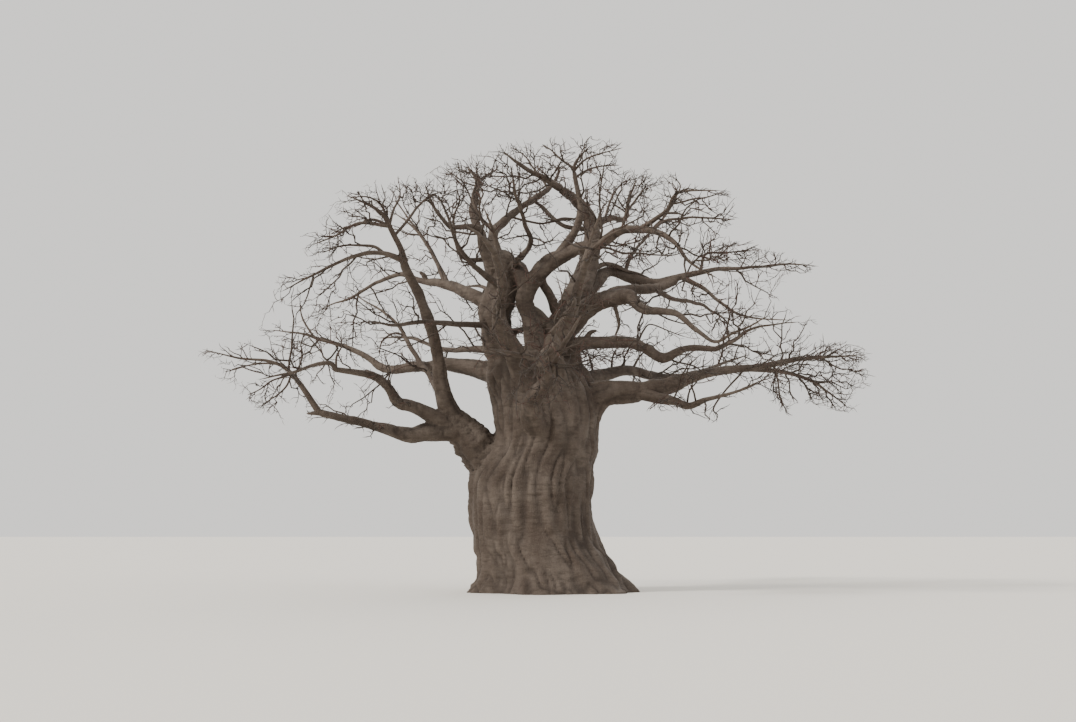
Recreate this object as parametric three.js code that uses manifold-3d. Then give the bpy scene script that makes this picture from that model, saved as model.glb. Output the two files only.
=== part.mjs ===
// A baobab tree in its leafless season, in millimetres, +Z up, the origin at the flat cut under its trunk.
// The bottle-shaped trunk, each bough and each mass of bare twigs is one closed solid.
// Neighbours are cut a hair's breadth clear of each other.

import * as THREE from "three";
import Module from "manifold-3d";

const wasm = await Module();
wasm.setup();

// Driving dimensions. All lengths in this file are metres until a mesh is made.
const MM_PER_METRE = 1000;
const GAP = 0.0004; // left between two solids that meet
const GROUND_CLEAR = 1.5; // no twig hangs lower than this above the ground
const TWIG_CLEAR = 0.03; // air between a twig and any limb or any neighbouring mass

// The limbs were measured along sight lines from one viewpoint in front of the tree.
const VIEW_DISTANCE = 50;
const EYE_HEIGHT = 2;
const EYE_SIDE = -0.29;

// The trunk, level by level: height, middle across, half width, half depth.
const TRUNK_SIDES = 28;
const TRUNK_LEVELS = [
  [0, 0.25, 2.86, 2.72],
  [0.35, 0.18, 2.62, 2.46],
  [0.75, 0.06, 2.49, 2.32],
  [1.15, -0.1, 2.37, 2.22],
  [1.6, -0.33, 2.22, 2.12],
  [2.2, -0.46, 2.16, 2.06],
  [2.9, -0.51, 2.17, 2.05],
  [3.8, -0.53, 2.23, 2.08],
  [4.5, -0.32, 2.06, 2.02],
  [5.2, -0.02, 1.86, 1.96],
  [6.1, 0.04, 1.93, 1.94],
  [6.9, -0.12, 1.93, 1.88],
  [7.6, -0.34, 1.8, 1.74],
  [8.15, -0.48, 1.46, 1.46],
  [8.5, -0.5, 0.95, 1.0],
];
const BUTTRESSES = 7; // rounded ribs round the foot
const BUTTRESS_DEPTH = 0.075; // as a share of the trunk's radius, at the ground
const BUTTRESS_HEIGHT = 2.6; // where the ribs fade out

// Each bough: what it leaves, and its knots as [across, up, back, radius]. Across and up are where
// the knot shows against the trunk's own plane, and back is how far it lies behind that plane.
const BOUGHS = {
  left_limb: [
    "trunk",
    [-1.35, 3.1, 0, 1.25], [-2.02, 4.55, -0.1, 0.8], [-2.8, 5.5, -0.25, 0.6], [-3.45, 6.1, -0.35, 0.5],
  ],
  tall_left_bough: [
    "left_limb",
    [-3.3, 5.9, -0.3, 0.44], [-3.72, 7.1, -0.9, 0.31], [-4.0, 8.85, -1.8, 0.21], [-4.56, 10.5, -2.8, 0.18],
    [-5.08, 11.6, -3.5, 0.15], [-5.38, 12.55, -4.1, 0.1], [-5.95, 13.65, -4.7, 0.07],
  ],
  low_left_bough: [
    "left_limb",
    [-3.2, 5.75, -0.4, 0.42], [-4.3, 5.65, -0.8, 0.33], [-5.0, 5.55, -1.1, 0.27], [-6.35, 5.95, -1.7, 0.16],
    [-8.2, 6.4, -2.4, 0.12],
  ],
  second_left_bough: [
    "left_limb",
    [-3.3, 5.9, -0.5, 0.36], [-4.55, 6.5, -1.1, 0.22], [-5.35, 6.8, -1.6, 0.19], [-6.1, 7.65, -2.4, 0.14],
    [-7.6, 7.95, -3.5, 0.09],
  ],
  left_level_bough: [
    "trunk",
    [-1.2, 7.6, 0.2, 0.42], [-2.4, 7.93, 0.5, 0.35], [-3.5, 8.15, 0.9, 0.26], [-4.6, 8.05, 1.3, 0.2],
    [-5.8, 7.95, 1.8, 0.15], [-6.4, 8.35, 2.1, 0.12], [-7.3, 8.8, 2.5, 0.09],
  ],
  left_leader: [
    "trunk",
    [-1.1, 7.2, -0.3, 0.75], [-1.68, 8.8, -0.5, 0.56], [-1.82, 9.9, -0.6, 0.6], [-1.6, 11.0, -0.7, 0.58],
    [-1.58, 11.9, -0.8, 0.46],
  ],
  right_leader: [
    "trunk",
    [-0.1, 7.2, 0.1, 0.72], [0.05, 8.6, 0.2, 0.68], [0.7, 9.85, 0.4, 0.52], [1.25, 11.05, 0.6, 0.44],
    [1.7, 12.35, 0.8, 0.35], [1.65, 13.3, 0.9, 0.26], [1.25, 14.1, 0.8, 0.2], [0.5, 14.7, 0.6, 0.15],
  ],
  cross_bough: [
    "trunk",
    [-0.2, 7.3, -0.6, 0.5], [-0.35, 8.7, -0.9, 0.38], [-0.65, 9.8, -1.1, 0.28], [-0.75, 10.7, -1.3, 0.3],
    [-0.1, 11.65, -1.6, 0.32], [0.9, 12.3, -2.0, 0.25], [1.9, 12.6, -2.6, 0.19], [2.8, 13.1, -3.2, 0.16],
    [3.9, 13.1, -4.0, 0.11],
  ],
  left_high_bough: [
    "left_leader",
    [-1.75, 10.05, -0.7, 0.3], [-2.6, 10.65, -0.3, 0.22], [-3.7, 11.1, 0.5, 0.17], [-4.45, 11.2, 1.2, 0.11],
    [-5.3, 11.45, 2.0, 0.09], [-6.2, 11.15, 2.9, 0.07],
  ],
  left_crown_bough: [
    "left_leader",
    [-1.8, 11.4, -0.8, 0.28], [-2.25, 12.5, -1.2, 0.18], [-2.5, 13.15, -1.6, 0.13], [-3.5, 13.2, -2.4, 0.08],
  ],
  middle_crown_bough: [
    "left_leader",
    [-1.5, 11.5, -0.7, 0.26], [-1.95, 12.9, -0.3, 0.18], [-1.5, 13.45, 0.2, 0.17], [-0.9, 13.95, 0.9, 0.12],
    [0.05, 14.6, 1.8, 0.1],
  ],
  middle_bough: [
    "left_leader",
    [-1.72, 11.0, -0.55, 0.32], [-2.1, 12.0, -0.3, 0.24], [-2.35, 12.85, 0.2, 0.18], [-2.68, 13.7, 0.8, 0.15],
    [-2.55, 14.5, 1.4, 0.11],
  ],
  arching_bough: [
    "right_leader",
    [0.8, 9.7, 0.6, 0.4], [1.7, 11.0, 1.1, 0.28], [2.3, 11.55, 1.4, 0.19], [3.15, 11.3, 1.5, 0.18],
    [4.0, 11.1, 1.5, 0.2], [5.1, 11.4, 1.4, 0.12], [6.2, 11.65, 1.2, 0.08],
  ],
  right_middle_bough: [
    "right_leader",
    [0.4, 9.2, 0.2, 0.46], [1.8, 10.4, -0.6, 0.34], [3.0, 10.6, -1.6, 0.24], [3.6, 10.15, -2.2, 0.15],
    [4.7, 10.0, -3.3, 0.11], [5.4, 9.45, -4.2, 0.08],
  ],
  right_level_bough: [
    "right_leader",
    [0.1, 8.7, 0.0, 0.3], [1.6, 8.92, -0.3, 0.22], [2.9, 8.95, -0.5, 0.2], [3.55, 8.75, -0.7, 0.18],
    [4.2, 8.37, -0.9, 0.18], [5.05, 8.72, -1.2, 0.12], [6.15, 8.7, -1.6, 0.1],
  ],
  low_right_bough: [
    "trunk",
    [0.2, 6.4, -0.1, 0.7], [1.95, 7.0, -0.3, 0.48], [3.4, 7.17, -0.4, 0.36], [4.6, 7.4, -0.3, 0.3],
    [5.75, 7.8, 0.0, 0.17], [7.75, 8.05, 0.5, 0.12],
  ],
  back_right_bough: [
    "trunk",
    [0.6, 7.2, 0.6, 0.36], [1.95, 7.75, 1.5, 0.24], [3.1, 7.9, 2.4, 0.19], [4.0, 7.7, 3.4, 0.15],
    [5.2, 7.7, 4.8, 0.11],
  ],
  high_back_bough: [
    "trunk",
    [0.4, 7.2, 0.9, 0.42], [0.3, 8.6, 2.2, 0.32], [0.8, 9.6, 3.5, 0.25], [1.15, 10.3, 5.0, 0.18],
    [1.5, 10.8, 6.4, 0.12],
  ],
  back_left_bough: [
    "trunk",
    [-1.0, 6.9, 0.9, 0.42], [-1.5, 8.4, 2.2, 0.32], [-1.8, 9.4, 3.7, 0.24], [-1.95, 10.1, 5.1, 0.17],
    [-1.8, 10.7, 6.4, 0.12],
  ],
  low_back_bough: [
    "trunk",
    [-0.3, 5.9, 1.2, 0.48], [-0.7, 6.9, 2.8, 0.34], [-0.3, 7.5, 4.3, 0.25], [-0.9, 8.2, 5.8, 0.18],
    [-0.6, 8.7, 7.2, 0.12],
  ],
  front_left_bough: [
    "trunk",
    [-0.6, 6.8, -1.0, 0.42], [-1.2, 8.6, -2.2, 0.32], [-1.75, 9.9, -3.5, 0.24], [-1.6, 11.1, -4.9, 0.17],
    [-1.9, 12.3, -6.2, 0.11],
  ],
  front_right_bough: [
    "trunk",
    [0.6, 7.0, -0.9, 0.42], [0.25, 8.6, -2.0, 0.32], [0.85, 9.9, -3.3, 0.24], [1.15, 11.0, -4.6, 0.17],
    [1.6, 12.2, -6.0, 0.11],
  ],
  low_front_bough: [
    "trunk",
    [-0.2, 5.5, -1.2, 0.48], [-0.5, 6.7, -2.8, 0.34], [0.1, 7.6, -4.2, 0.25], [-0.2, 8.3, -5.6, 0.18],
    [0.4, 8.9, -7.0, 0.12],
  ],
};

// Each mass of twigs: what its stem leaves, how long its longest twigs are, and its stem's knots.
// A stem that continues a bough starts at that bough's tip, so only its later knots are given.
const MASSES = {
  tall_left_twigs: ["tip of tall_left_bough", 2.4, [-6.55, 14.1, -5.0, 0.045], [-7.3, 14.4, -5.4, 0.015]],
  left_shoulder_twigs: [
    "tall_left_bough", 2.3,
    [-5.7, 13.25, -4.5, 0.07], [-6.9, 13.35, -4.9, 0.05], [-7.7, 12.9, -5.1, 0.035],
    [-8.6, 12.55, -5.2, 0.012],
  ],
  left_arch_twigs: [
    "tall_left_bough", 2.4,
    [-5.15, 12.0, -3.75, 0.11], [-6.1, 12.25, -4.0, 0.08], [-7.1, 12.1, -4.1, 0.065],
    [-8.4, 11.5, -4.1, 0.045], [-9.7, 10.8, -3.9, 0.012],
  ],
  spur_twigs: [
    "tall_left_bough", 2.3,
    [-3.68, 6.8, -0.75, 0.16], [-4.25, 7.75, 0.2, 0.1], [-4.95, 8.85, 1.0, 0.085], [-5.6, 9.8, 1.8, 0.06],
    [-7.0, 10.7, 3.0, 0.015],
  ],
  low_left_twigs: [
    "tip of low_left_bough", 2.6,
    [-9.2, 7.8, -2.9, 0.08], [-10.0, 8.25, -3.1, 0.055], [-11.2, 8.4, -3.3, 0.035], [-12.5, 8.7, -3.5, 0.008],
  ],
  second_left_twigs: [
    "tip of second_left_bough", 2.5,
    [-7.95, 8.2, -3.8, 0.07], [-9.2, 7.85, -4.5, 0.05], [-10.4, 7.6, -5.1, 0.012],
  ],
  left_level_twigs: [
    "tip of left_level_bough", 2.5,
    [-8.3, 9.1, 2.9, 0.065], [-9.0, 9.3, 3.1, 0.04], [-10.1, 9.4, 3.4, 0.012],
  ],
  left_back_twigs: [
    "left_leader", 2.5,
    [-1.6, 8.7, -0.45, 0.16], [-2.75, 8.7, 0.9, 0.11], [-3.85, 8.7, 2.6, 0.09], [-4.9, 9.1, 4.6, 0.065],
    [-6.2, 9.1, 7.2, 0.015],
  ],
  left_front_twigs: [
    "left_leader", 2.5,
    [-1.8, 9.6, -0.6, 0.14], [-3.1, 9.6, -1.9, 0.1], [-4.2, 9.7, -3.4, 0.08], [-5.4, 9.6, -5.0, 0.06],
    [-6.4, 9.7, -6.6, 0.015],
  ],
  left_high_twigs: ["tip of left_high_bough", 2.4, [-7.1, 10.6, 3.6, 0.05], [-8.2, 10.2, 4.2, 0.015]],
  left_rising_twigs: [
    "left_high_bough", 2.4,
    [-3.55, 11.0, 0.4, 0.11], [-3.9, 11.8, 0.9, 0.07], [-4.5, 12.8, 1.5, 0.055], [-5.1, 13.6, 2.1, 0.035],
    [-5.6, 14.3, 2.6, 0.012],
  ],
  middle_twigs: ["tip of middle_bough", 2.4, [-2.5, 15.0, 2.0, 0.065], [-2.9, 15.5, 2.6, 0.015]],
  left_crown_twigs: ["tip of left_crown_bough", 2.3, [-4.1, 13.9, -2.9, 0.055], [-4.5, 14.9, -3.2, 0.015]],
  middle_crown_twigs: ["tip of middle_crown_bough", 2.3, [0.4, 15.1, 2.1, 0.06], [0.5, 15.6, 2.4, 0.015]],
  left_front_crown_twigs: [
    "left_leader", 2.4,
    [-1.65, 11.0, -1.0, 0.14], [-2.6, 11.75, -2.4, 0.09], [-3.3, 12.7, -3.6, 0.07], [-3.6, 13.6, -5.0, 0.045],
    [-4.0, 14.5, -6.2, 0.012],
  ],
  front_crown_twigs: [
    "left_leader", 2.4,
    [-1.4, 11.6, -0.9, 0.14], [-0.6, 12.55, -2.3, 0.09], [-0.8, 13.4, -3.6, 0.075], [-1.1, 14.5, -5.0, 0.05],
    [-1.3, 15.6, -5.8, 0.012],
  ],
  cross_twigs: [
    "tip of cross_bough", 2.4,
    [4.65, 12.7, -4.6, 0.08], [5.3, 11.9, -5.2, 0.05], [6.3, 11.3, -5.7, 0.015],
  ],
  cross_rising_twigs: [
    "cross_bough", 2.3,
    [3.45, 13.15, -3.7, 0.1], [4.4, 13.8, -4.2, 0.065], [4.9, 14.5, -4.6, 0.045], [6.5, 14.6, -5.0, 0.012],
  ],
  top_twigs: [
    "cross_bough", 2.5,
    [0.25, 11.9, -1.7, 0.2], [1.0, 12.95, -2.0, 0.15], [1.3, 13.8, -2.2, 0.12], [1.15, 14.8, -2.4, 0.08],
    [1.05, 15.6, -2.6, 0.055], [1.7, 16.35, -2.8, 0.012],
  ],
  right_leader_twigs: [
    "tip of right_leader", 2.4,
    [-0.05, 15.05, 0.2, 0.11], [-0.95, 15.55, -0.3, 0.07], [-1.6, 16.1, -0.8, 0.015],
  ],
  right_upper_twigs: [
    "right_leader", 2.4,
    [1.65, 13.2, 0.9, 0.17], [2.4, 13.55, 1.4, 0.11], [2.9, 13.55, 1.9, 0.09], [3.05, 14.3, 2.3, 0.065],
    [3.35, 15.0, 2.6, 0.015],
  ],
  arching_twigs: [
    "tip of arching_bough", 2.5,
    [7.5, 11.7, 1.0, 0.055], [8.9, 11.85, 0.8, 0.035], [10.0, 11.75, 0.6, 0.008],
  ],
  arching_back_twigs: [
    "arching_bough", 2.4,
    [3.8, 11.05, 1.5, 0.13], [4.55, 10.6, 2.8, 0.09], [5.6, 10.35, 4.2, 0.07], [6.3, 9.95, 5.4, 0.045],
    [6.9, 9.4, 6.4, 0.012],
  ],
  arching_low_twigs: [
    "arching_bough", 2.3,
    [4.95, 11.37, 1.4, 0.11], [5.8, 10.9, 0.8, 0.075], [6.4, 10.4, 0.2, 0.06], [7.25, 9.9, -0.5, 0.04],
    [9.0, 9.75, -1.2, 0.012],
  ],
  right_middle_twigs: [
    "tip of right_middle_bough", 2.5,
    [6.15, 9.0, -5.0, 0.055], [7.05, 9.4, -5.8, 0.04], [8.2, 9.95, -6.6, 0.012],
  ],
  right_level_twigs: [
    "tip of right_level_bough", 2.5,
    [6.9, 9.05, -2.0, 0.07], [7.6, 9.5, -2.4, 0.045], [9.3, 9.7, -2.9, 0.012],
  ],
  low_right_twigs: [
    "tip of low_right_bough", 2.4,
    [8.85, 8.28, 0.7, 0.1], [10.1, 8.4, 0.9, 0.06], [11.6, 8.5, 1.1, 0.008],
  ],
  low_right_hanging_twigs: [
    "low_right_bough", 2.3,
    [7.2, 7.98, 0.4, 0.11], [8.6, 7.85, 1.3, 0.075], [9.7, 7.5, 1.9, 0.06], [10.9, 6.6, 2.6, 0.012],
  ],
  hooked_twigs: [
    "low_right_bough", 2.2,
    [3.3, 7.1, -0.4, 0.26], [4.65, 6.77, -1.3, 0.15], [5.2, 6.65, -1.8, 0.13], [5.9, 6.9, -2.5, 0.08],
    [6.85, 7.15, -3.4, 0.05], [7.9, 7.6, -4.3, 0.012],
  ],
  back_right_twigs: ["tip of back_right_bough", 2.6, [6.2, 8.1, 5.8, 0.07], [7.4, 8.5, 6.8, 0.015]],
  high_back_twigs: ["tip of high_back_bough", 2.7, [1.9, 11.0, 7.3, 0.07], [2.1, 11.0, 8.1, 0.015]],
  back_left_twigs: ["tip of back_left_bough", 2.7, [-2.4, 11.0, 7.2, 0.07], [-3.1, 11.0, 8.0, 0.015]],
  low_back_twigs: ["tip of low_back_bough", 2.7, [-0.3, 8.9, 8.4, 0.07], [-0.8, 9.2, 9.6, 0.015]],
  front_left_twigs: ["tip of front_left_bough", 2.6, [-2.4, 12.9, -7.3, 0.065], [-3.0, 13.3, -8.4, 0.015]],
  front_right_twigs: ["tip of front_right_bough", 2.6, [2.2, 12.8, -7.1, 0.065], [2.9, 13.2, -8.2, 0.015]],
  low_front_twigs: ["tip of low_front_bough", 2.6, [0.3, 9.4, -8.3, 0.07], [0.7, 9.9, -9.5, 0.015]],
};

// How twigs branch from a stem, and smaller twigs from them.
const GOLDEN_ANGLE = 2.39996;
const FIRST_TWIGS = {
  spacing: 0.5, least: 6, most: 8, // along the stem
  from: 0.12, to: 0.97, // shares of the stem's length
  wide: 1.1, narrow: 0.5, spread: 0.3, // angles to the stem, at its foot, at its tip, and by chance
};
const SIDE_TWIG = { at: 0.5, angle: 0.75, share: 0.55, thin: 0.6 };
const TWIG_RADIUS = 0.02;
const SUNK_SHARE = 0.55; // a twig is never thicker than this share of what it grows from
const DWINDLE = 0.6; // how much shorter the twigs get towards a stem's tip
const FIRST_SEED = 101;
const SEED_STEP = 37;
const LIFT = 0.28; // how far a twig turns up towards the light
const OUTWARD = 0.3; // how far it turns away from the middle of the crown
const SHRINK = 0.72; // a twig that would leave its space is tried once more, this much shorter

// The crown's dome: a half ellipsoid that the twigs fill. Only the longest arms pass it.
const CROWN_MIDDLE = new THREE.Vector3(0, 0, 8);
const CROWN_REACH = new THREE.Vector3(11.3, 10.3, 8.7);
const STRAY = 0.05; // how much further out than its own foot a twig on such an arm may end

const TIP_OF = "tip of ";
const STEPS = 2; // rings to each stretch between two knots
const STOUT_RADIUS = 0.35; // a bough thicker than this at its root gets more sides
const STOUT_SIDES = 8;
const SLENDER_SIDES = 6;
const TWIG_SIDES = 3;

const UP = new THREE.Vector3(0, 0, 1);

// A fixed run of numbers from 0 to 1, the same on every machine.
class Chance {
  constructor(seed) {
    this.state = seed;
  }
  next() {
    this.state = (this.state * 16807) % 2147483647;
    return this.state / 2147483647;
  }
}

// The real place of a knot that shows at (across, up) and lies that far back.
function placed([across, up, back]) {
  const stretch = (VIEW_DISTANCE + back) / VIEW_DISTANCE;
  return new THREE.Vector3(
    EYE_SIDE + (across - EYE_SIDE) * stretch,
    back,
    EYE_HEIGHT + (up - EYE_HEIGHT) * stretch,
  );
}

function placedKnot(knot) {
  return { at: placed(knot), radius: knot[3] };
}

// A smooth run of points and radii through the knots, a few steps to each stretch.
function smoothPath(knots, steps) {
  const curve = new THREE.CatmullRomCurve3(knots.map((knot) => knot.at), false, "catmullrom", 0.5);
  const stretches = knots.length - 1;
  return Array.from({ length: stretches * steps + 1 }, (_, i) => {
    const along = i / steps;
    const k = Math.min(Math.floor(along), stretches - 1);
    const radius = THREE.MathUtils.lerp(knots[k].radius, knots[k + 1].radius, along - k);
    return { at: curve.getPoint(i / (stretches * steps)), radius };
  });
}

function directionAt(path, i) {
  const before = path[Math.max(i - 1, 0)].at;
  const after = path[Math.min(i + 1, path.length - 1)].at;
  return after.clone().sub(before).normalize();
}

// Two directions square to the given one, the first as near as it can be to the last one used.
function squareTo(direction, last) {
  const first = last.clone().addScaledVector(direction, -last.dot(direction)).normalize();
  return [first, new THREE.Vector3().crossVectors(direction, first)];
}

function anySquareTo(direction) {
  const guide = Math.abs(direction.z) < 0.9 ? UP : new THREE.Vector3(1, 0, 0);
  return new THREE.Vector3().crossVectors(direction, guide).normalize();
}

function middleOf(ring) {
  return ring.reduce((sum, point) => sum.add(point), new THREE.Vector3()).divideScalar(ring.length);
}

// A closed solid over rings of points. Each end is a fan about its middle, flat or drawn out to a tip.
function skin(rings, tip = middleOf(rings[rings.length - 1])) {
  const sides = rings[0].length;
  const points = [...rings.flat(), middleOf(rings[0]), tip];
  const foot = points.length - 2;
  const last = (rings.length - 1) * sides;
  const faces = [];
  for (let side = 0; side < sides; side++) {
    const next = (side + 1) % sides;
    faces.push(foot, next, side);
    faces.push(foot + 1, last + side, last + next);
    for (let row = 0; row < last; row += sides) {
      faces.push(row + side, row + next, row + next + sides);
      faces.push(row + side, row + next + sides, row + side + sides);
    }
  }
  const places = points.flatMap(({ x, y, z }) => [x * MM_PER_METRE, y * MM_PER_METRE, z * MM_PER_METRE]);
  return new wasm.Manifold(
    new wasm.Mesh({ numProp: 3, vertProperties: new Float32Array(places), triVerts: new Uint32Array(faces) }),
  );
}

// A tapering limb along a path. With grow, it stands that far proud on every side.
function limb(path, sides, { grow = 0, pointed = false } = {}) {
  const proud = grow / Math.cos(Math.PI / sides);
  let square = anySquareTo(directionAt(path, 0));
  const rings = path.slice(0, pointed ? -1 : undefined).map(({ at, radius }, i) => {
    const direction = directionAt(path, i);
    const [first, second] = squareTo(direction, square);
    square = first;
    const end = i === path.length - 1 ? grow : i === 0 ? -grow : 0;
    return Array.from({ length: sides }, (_, side) => {
      const angle = (2 * Math.PI * side) / sides;
      return at.clone()
        .addScaledVector(direction, end)
        .addScaledVector(first, Math.cos(angle) * (radius + proud))
        .addScaledVector(second, Math.sin(angle) * (radius + proud));
    });
  });
  return pointed ? skin(rings, path[path.length - 1].at) : skin(rings);
}

// The trunk, with ribs that spread at its foot.
function trunkSolid(grow = 0) {
  const rings = TRUNK_LEVELS.map(([height, middle, halfWidth, halfDepth], level) => {
    const fade = Math.max(0, 1 - height / BUTTRESS_HEIGHT) ** 2;
    const top = level === TRUNK_LEVELS.length - 1 ? grow : 0;
    return Array.from({ length: TRUNK_SIDES }, (_, side) => {
      const angle = (2 * Math.PI * side) / TRUNK_SIDES;
      const rib = 1 + BUTTRESS_DEPTH * fade * Math.cos(BUTTRESSES * angle);
      return new THREE.Vector3(
        middle + Math.cos(angle) * (halfWidth * rib + grow),
        Math.sin(angle) * (halfDepth * rib + grow),
        height + top,
      );
    });
  });
  return skin(rings);
}

// The trunk as a run of points and radii, for keeping twigs off it.
const trunkPath = TRUNK_LEVELS.map(([height, middle, halfWidth]) => ({
  at: new THREE.Vector3(middle, 0, height),
  radius: halfWidth,
}));

function distanceToPath(point, path) {
  const nearest = new THREE.Vector3();
  const stretch = new THREE.Line3();
  let least = Infinity;
  for (let i = 0; i < path.length - 1; i++) {
    stretch.set(path[i].at, path[i + 1].at);
    const along = stretch.closestPointToPointParameter(point, true);
    stretch.at(along, nearest);
    const radius = THREE.MathUtils.lerp(path[i].radius, path[i + 1].radius, along);
    least = Math.min(least, nearest.distanceTo(point) - radius);
  }
  return least;
}

const boughPaths = new Map();
for (const [name, [, ...knots]] of Object.entries(BOUGHS)) {
  boughPaths.set(name, smoothPath(knots.map(placedKnot), STEPS));
}

// A stem runs on from its bough's tip, or leaves the side of the limb it is on.
function stemPath([from, , ...knots]) {
  const later = knots.map(placedKnot);
  if (!from.startsWith(TIP_OF)) return smoothPath(later, STEPS);
  const bough = boughPaths.get(from.slice(TIP_OF.length));
  const { at, radius } = bough[bough.length - 1];
  const start = at.clone().addScaledVector(directionAt(bough, bough.length - 1), GAP);
  return smoothPath([{ at: start, radius }, ...later], STEPS);
}

const stemPaths = new Map();
for (const [name, mass] of Object.entries(MASSES)) stemPaths.set(name, stemPath(mass));

// How far out a point lies: 1 on the crown's dome, less inside it.
function outness(point) {
  return point.clone().sub(CROWN_MIDDLE).divide(CROWN_REACH).length();
}

// Whether a twig keeps to its own mass's space and clear of every limb.
function isFree(twig, mass) {
  const [start, middle, end] = twig.map((step) => step.at);
  const samples = [0.35, 0.7, 1].flatMap((share) => [
    start.clone().lerp(middle, share),
    middle.clone().lerp(end, share),
  ]);
  const clear = TWIG_RADIUS + TWIG_CLEAR;
  if (end.z > CROWN_MIDDLE.z && outness(end) > Math.max(1, outness(start) + STRAY)) return false;
  const limbs = [trunkPath, ...boughPaths.values()];
  const otherStems = [...stemPaths].filter(([name]) => name !== mass).map(([, path]) => path);
  return samples.every((point) => {
    const own = distanceToPath(point, stemPaths.get(mass));
    return (
      point.z > GROUND_CLEAR &&
      limbs.every((path) => distanceToPath(point, path) > clear) &&
      otherStems.every((path) => distanceToPath(point, path) > own + 2 * clear)
    );
  });
}

function pathLength(path) {
  return path.slice(1).reduce((sum, step, i) => sum + step.at.distanceTo(path[i].at), 0);
}

function stepAt(path, share) {
  const along = share * (path.length - 1);
  const i = Math.min(Math.floor(along), path.length - 2);
  return {
    at: path[i].at.clone().lerp(path[i + 1].at, along - i),
    radius: THREE.MathUtils.lerp(path[i].radius, path[i + 1].radius, along - i),
    direction: path[i + 1].at.clone().sub(path[i].at).normalize(),
  };
}

// One twig: it starts inside its parent, leaves it at an angle, then bends up and out.
function twigFrom(parent, share, around, angle, length, widest) {
  const { at, direction, radius: room } = stepAt(parent, share);
  const radius = Math.min(widest, SUNK_SHARE * room);
  const [first, second] = squareTo(direction, anySquareTo(direction));
  const heading = direction.clone().multiplyScalar(Math.cos(angle))
    .addScaledVector(first, Math.sin(angle) * Math.cos(around))
    .addScaledVector(second, Math.sin(angle) * Math.sin(around))
    .normalize();
  const outward = at.clone().sub(CROWN_MIDDLE).normalize();
  const bent = heading.clone().addScaledVector(UP, LIFT).addScaledVector(outward, OUTWARD).normalize();
  const middle = at.clone().addScaledVector(heading, length * 0.45);
  return [
    { at, radius },
    { at: middle, radius: radius * 0.7 },
    { at: middle.clone().addScaledVector(bent, length * 0.55), radius: 0 },
  ];
}

// All the twigs of one mass: each first twig with a smaller one on its side.
function twigsOf(name, reach, seed) {
  const chance = new Chance(seed);
  const stem = stemPaths.get(name);
  const { spacing, least, most, from, to, wide, narrow, spread } = FIRST_TWIGS;
  const count = THREE.MathUtils.clamp(Math.round(pathLength(stem) / spacing), least, most);
  const twigs = [];
  for (let k = 0; k < count; k++) {
    const share = THREE.MathUtils.lerp(from, to, (k + 0.6 * chance.next()) / count);
    const angle = THREE.MathUtils.lerp(wide, narrow, share) + spread * (chance.next() - 0.5);
    const around = k * GOLDEN_ANGLE + chance.next();
    const turn = chance.next() * Math.PI;
    const longest = reach * (1 - DWINDLE * share) * (0.8 + 0.4 * chance.next());
    const first = [longest, longest * SHRINK]
      .map((length) => twigFrom(stem, share, around, angle, length, TWIG_RADIUS))
      .find((twig) => isFree(twig, name));
    if (!first) continue;
    const length = SIDE_TWIG.share * pathLength(first);
    const side = twigFrom(first, SIDE_TWIG.at, turn, SIDE_TWIG.angle, length, TWIG_RADIUS * SIDE_TWIG.thin);
    twigs.push(first);
    if (isFree(side, name)) twigs.push([side[0], side[2]]);
  }
  return twigs;
}

function largestPiece(solid) {
  const pieces = solid.decompose();
  return pieces.reduce((best, piece) => (piece.volume() > best.volume() ? piece : best));
}

const BARK = new THREE.MeshStandardMaterial({ color: "#7d7068", roughness: 0.85, metalness: 0 });
const TWIG_BARK = new THREE.MeshStandardMaterial({ color: "#5e5149", roughness: 0.9, metalness: 0 });

function meshOf(name, solid, material) {
  const { vertProperties, triVerts } = solid.getMesh();
  const geometry = new THREE.BufferGeometry()
    .setAttribute("position", new THREE.BufferAttribute(new Float32Array(vertProperties), 3))
    .setIndex(new THREE.BufferAttribute(new Uint32Array(triVerts), 1));
  const mesh = new THREE.Mesh(geometry, material);
  mesh.name = name;
  return mesh;
}

const tree = new THREE.Group();
tree.add(meshOf("trunk", trunkSolid(), BARK));

// Each bough is cut clear of the trunk, of its parent and of that parent's earlier boughs.
const proudSolids = new Map([["trunk", trunkSolid(GAP)]]);
for (const [name, [parent]] of Object.entries(BOUGHS)) {
  const path = boughPaths.get(name);
  const sides = path[0].radius > STOUT_RADIUS ? STOUT_SIDES : SLENDER_SIDES;
  const neighbours = [...proudSolids.keys()].filter(
    (other) => other === "trunk" || other === parent || BOUGHS[other][0] === parent,
  );
  const solid = neighbours.reduce((rest, other) => rest.subtract(proudSolids.get(other)), limb(path, sides));
  proudSolids.set(name, limb(path, sides, { grow: GAP }));
  tree.add(meshOf(name, largestPiece(solid), BARK));
}

// Each mass is its stem with the twigs sunk into it, cut clear of the limb that carries it.
Object.entries(MASSES).forEach(([name, [from, reach]], index) => {
  const twigs = twigsOf(name, reach, FIRST_SEED + SEED_STEP * index);
  const whole = wasm.Manifold.union([
    limb(stemPaths.get(name), TWIG_SIDES),
    ...twigs.map((twig) => limb(twig, TWIG_SIDES, { pointed: true })),
  ]);
  const carrier = from.replace(TIP_OF, "");
  const neighbours = [carrier, BOUGHS[carrier][0]];
  const solid = neighbours.reduce((rest, other) => rest.subtract(proudSolids.get(other)), whole);
  tree.add(meshOf(name, largestPiece(solid), TWIG_BARK));
});

export default tree;
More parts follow.
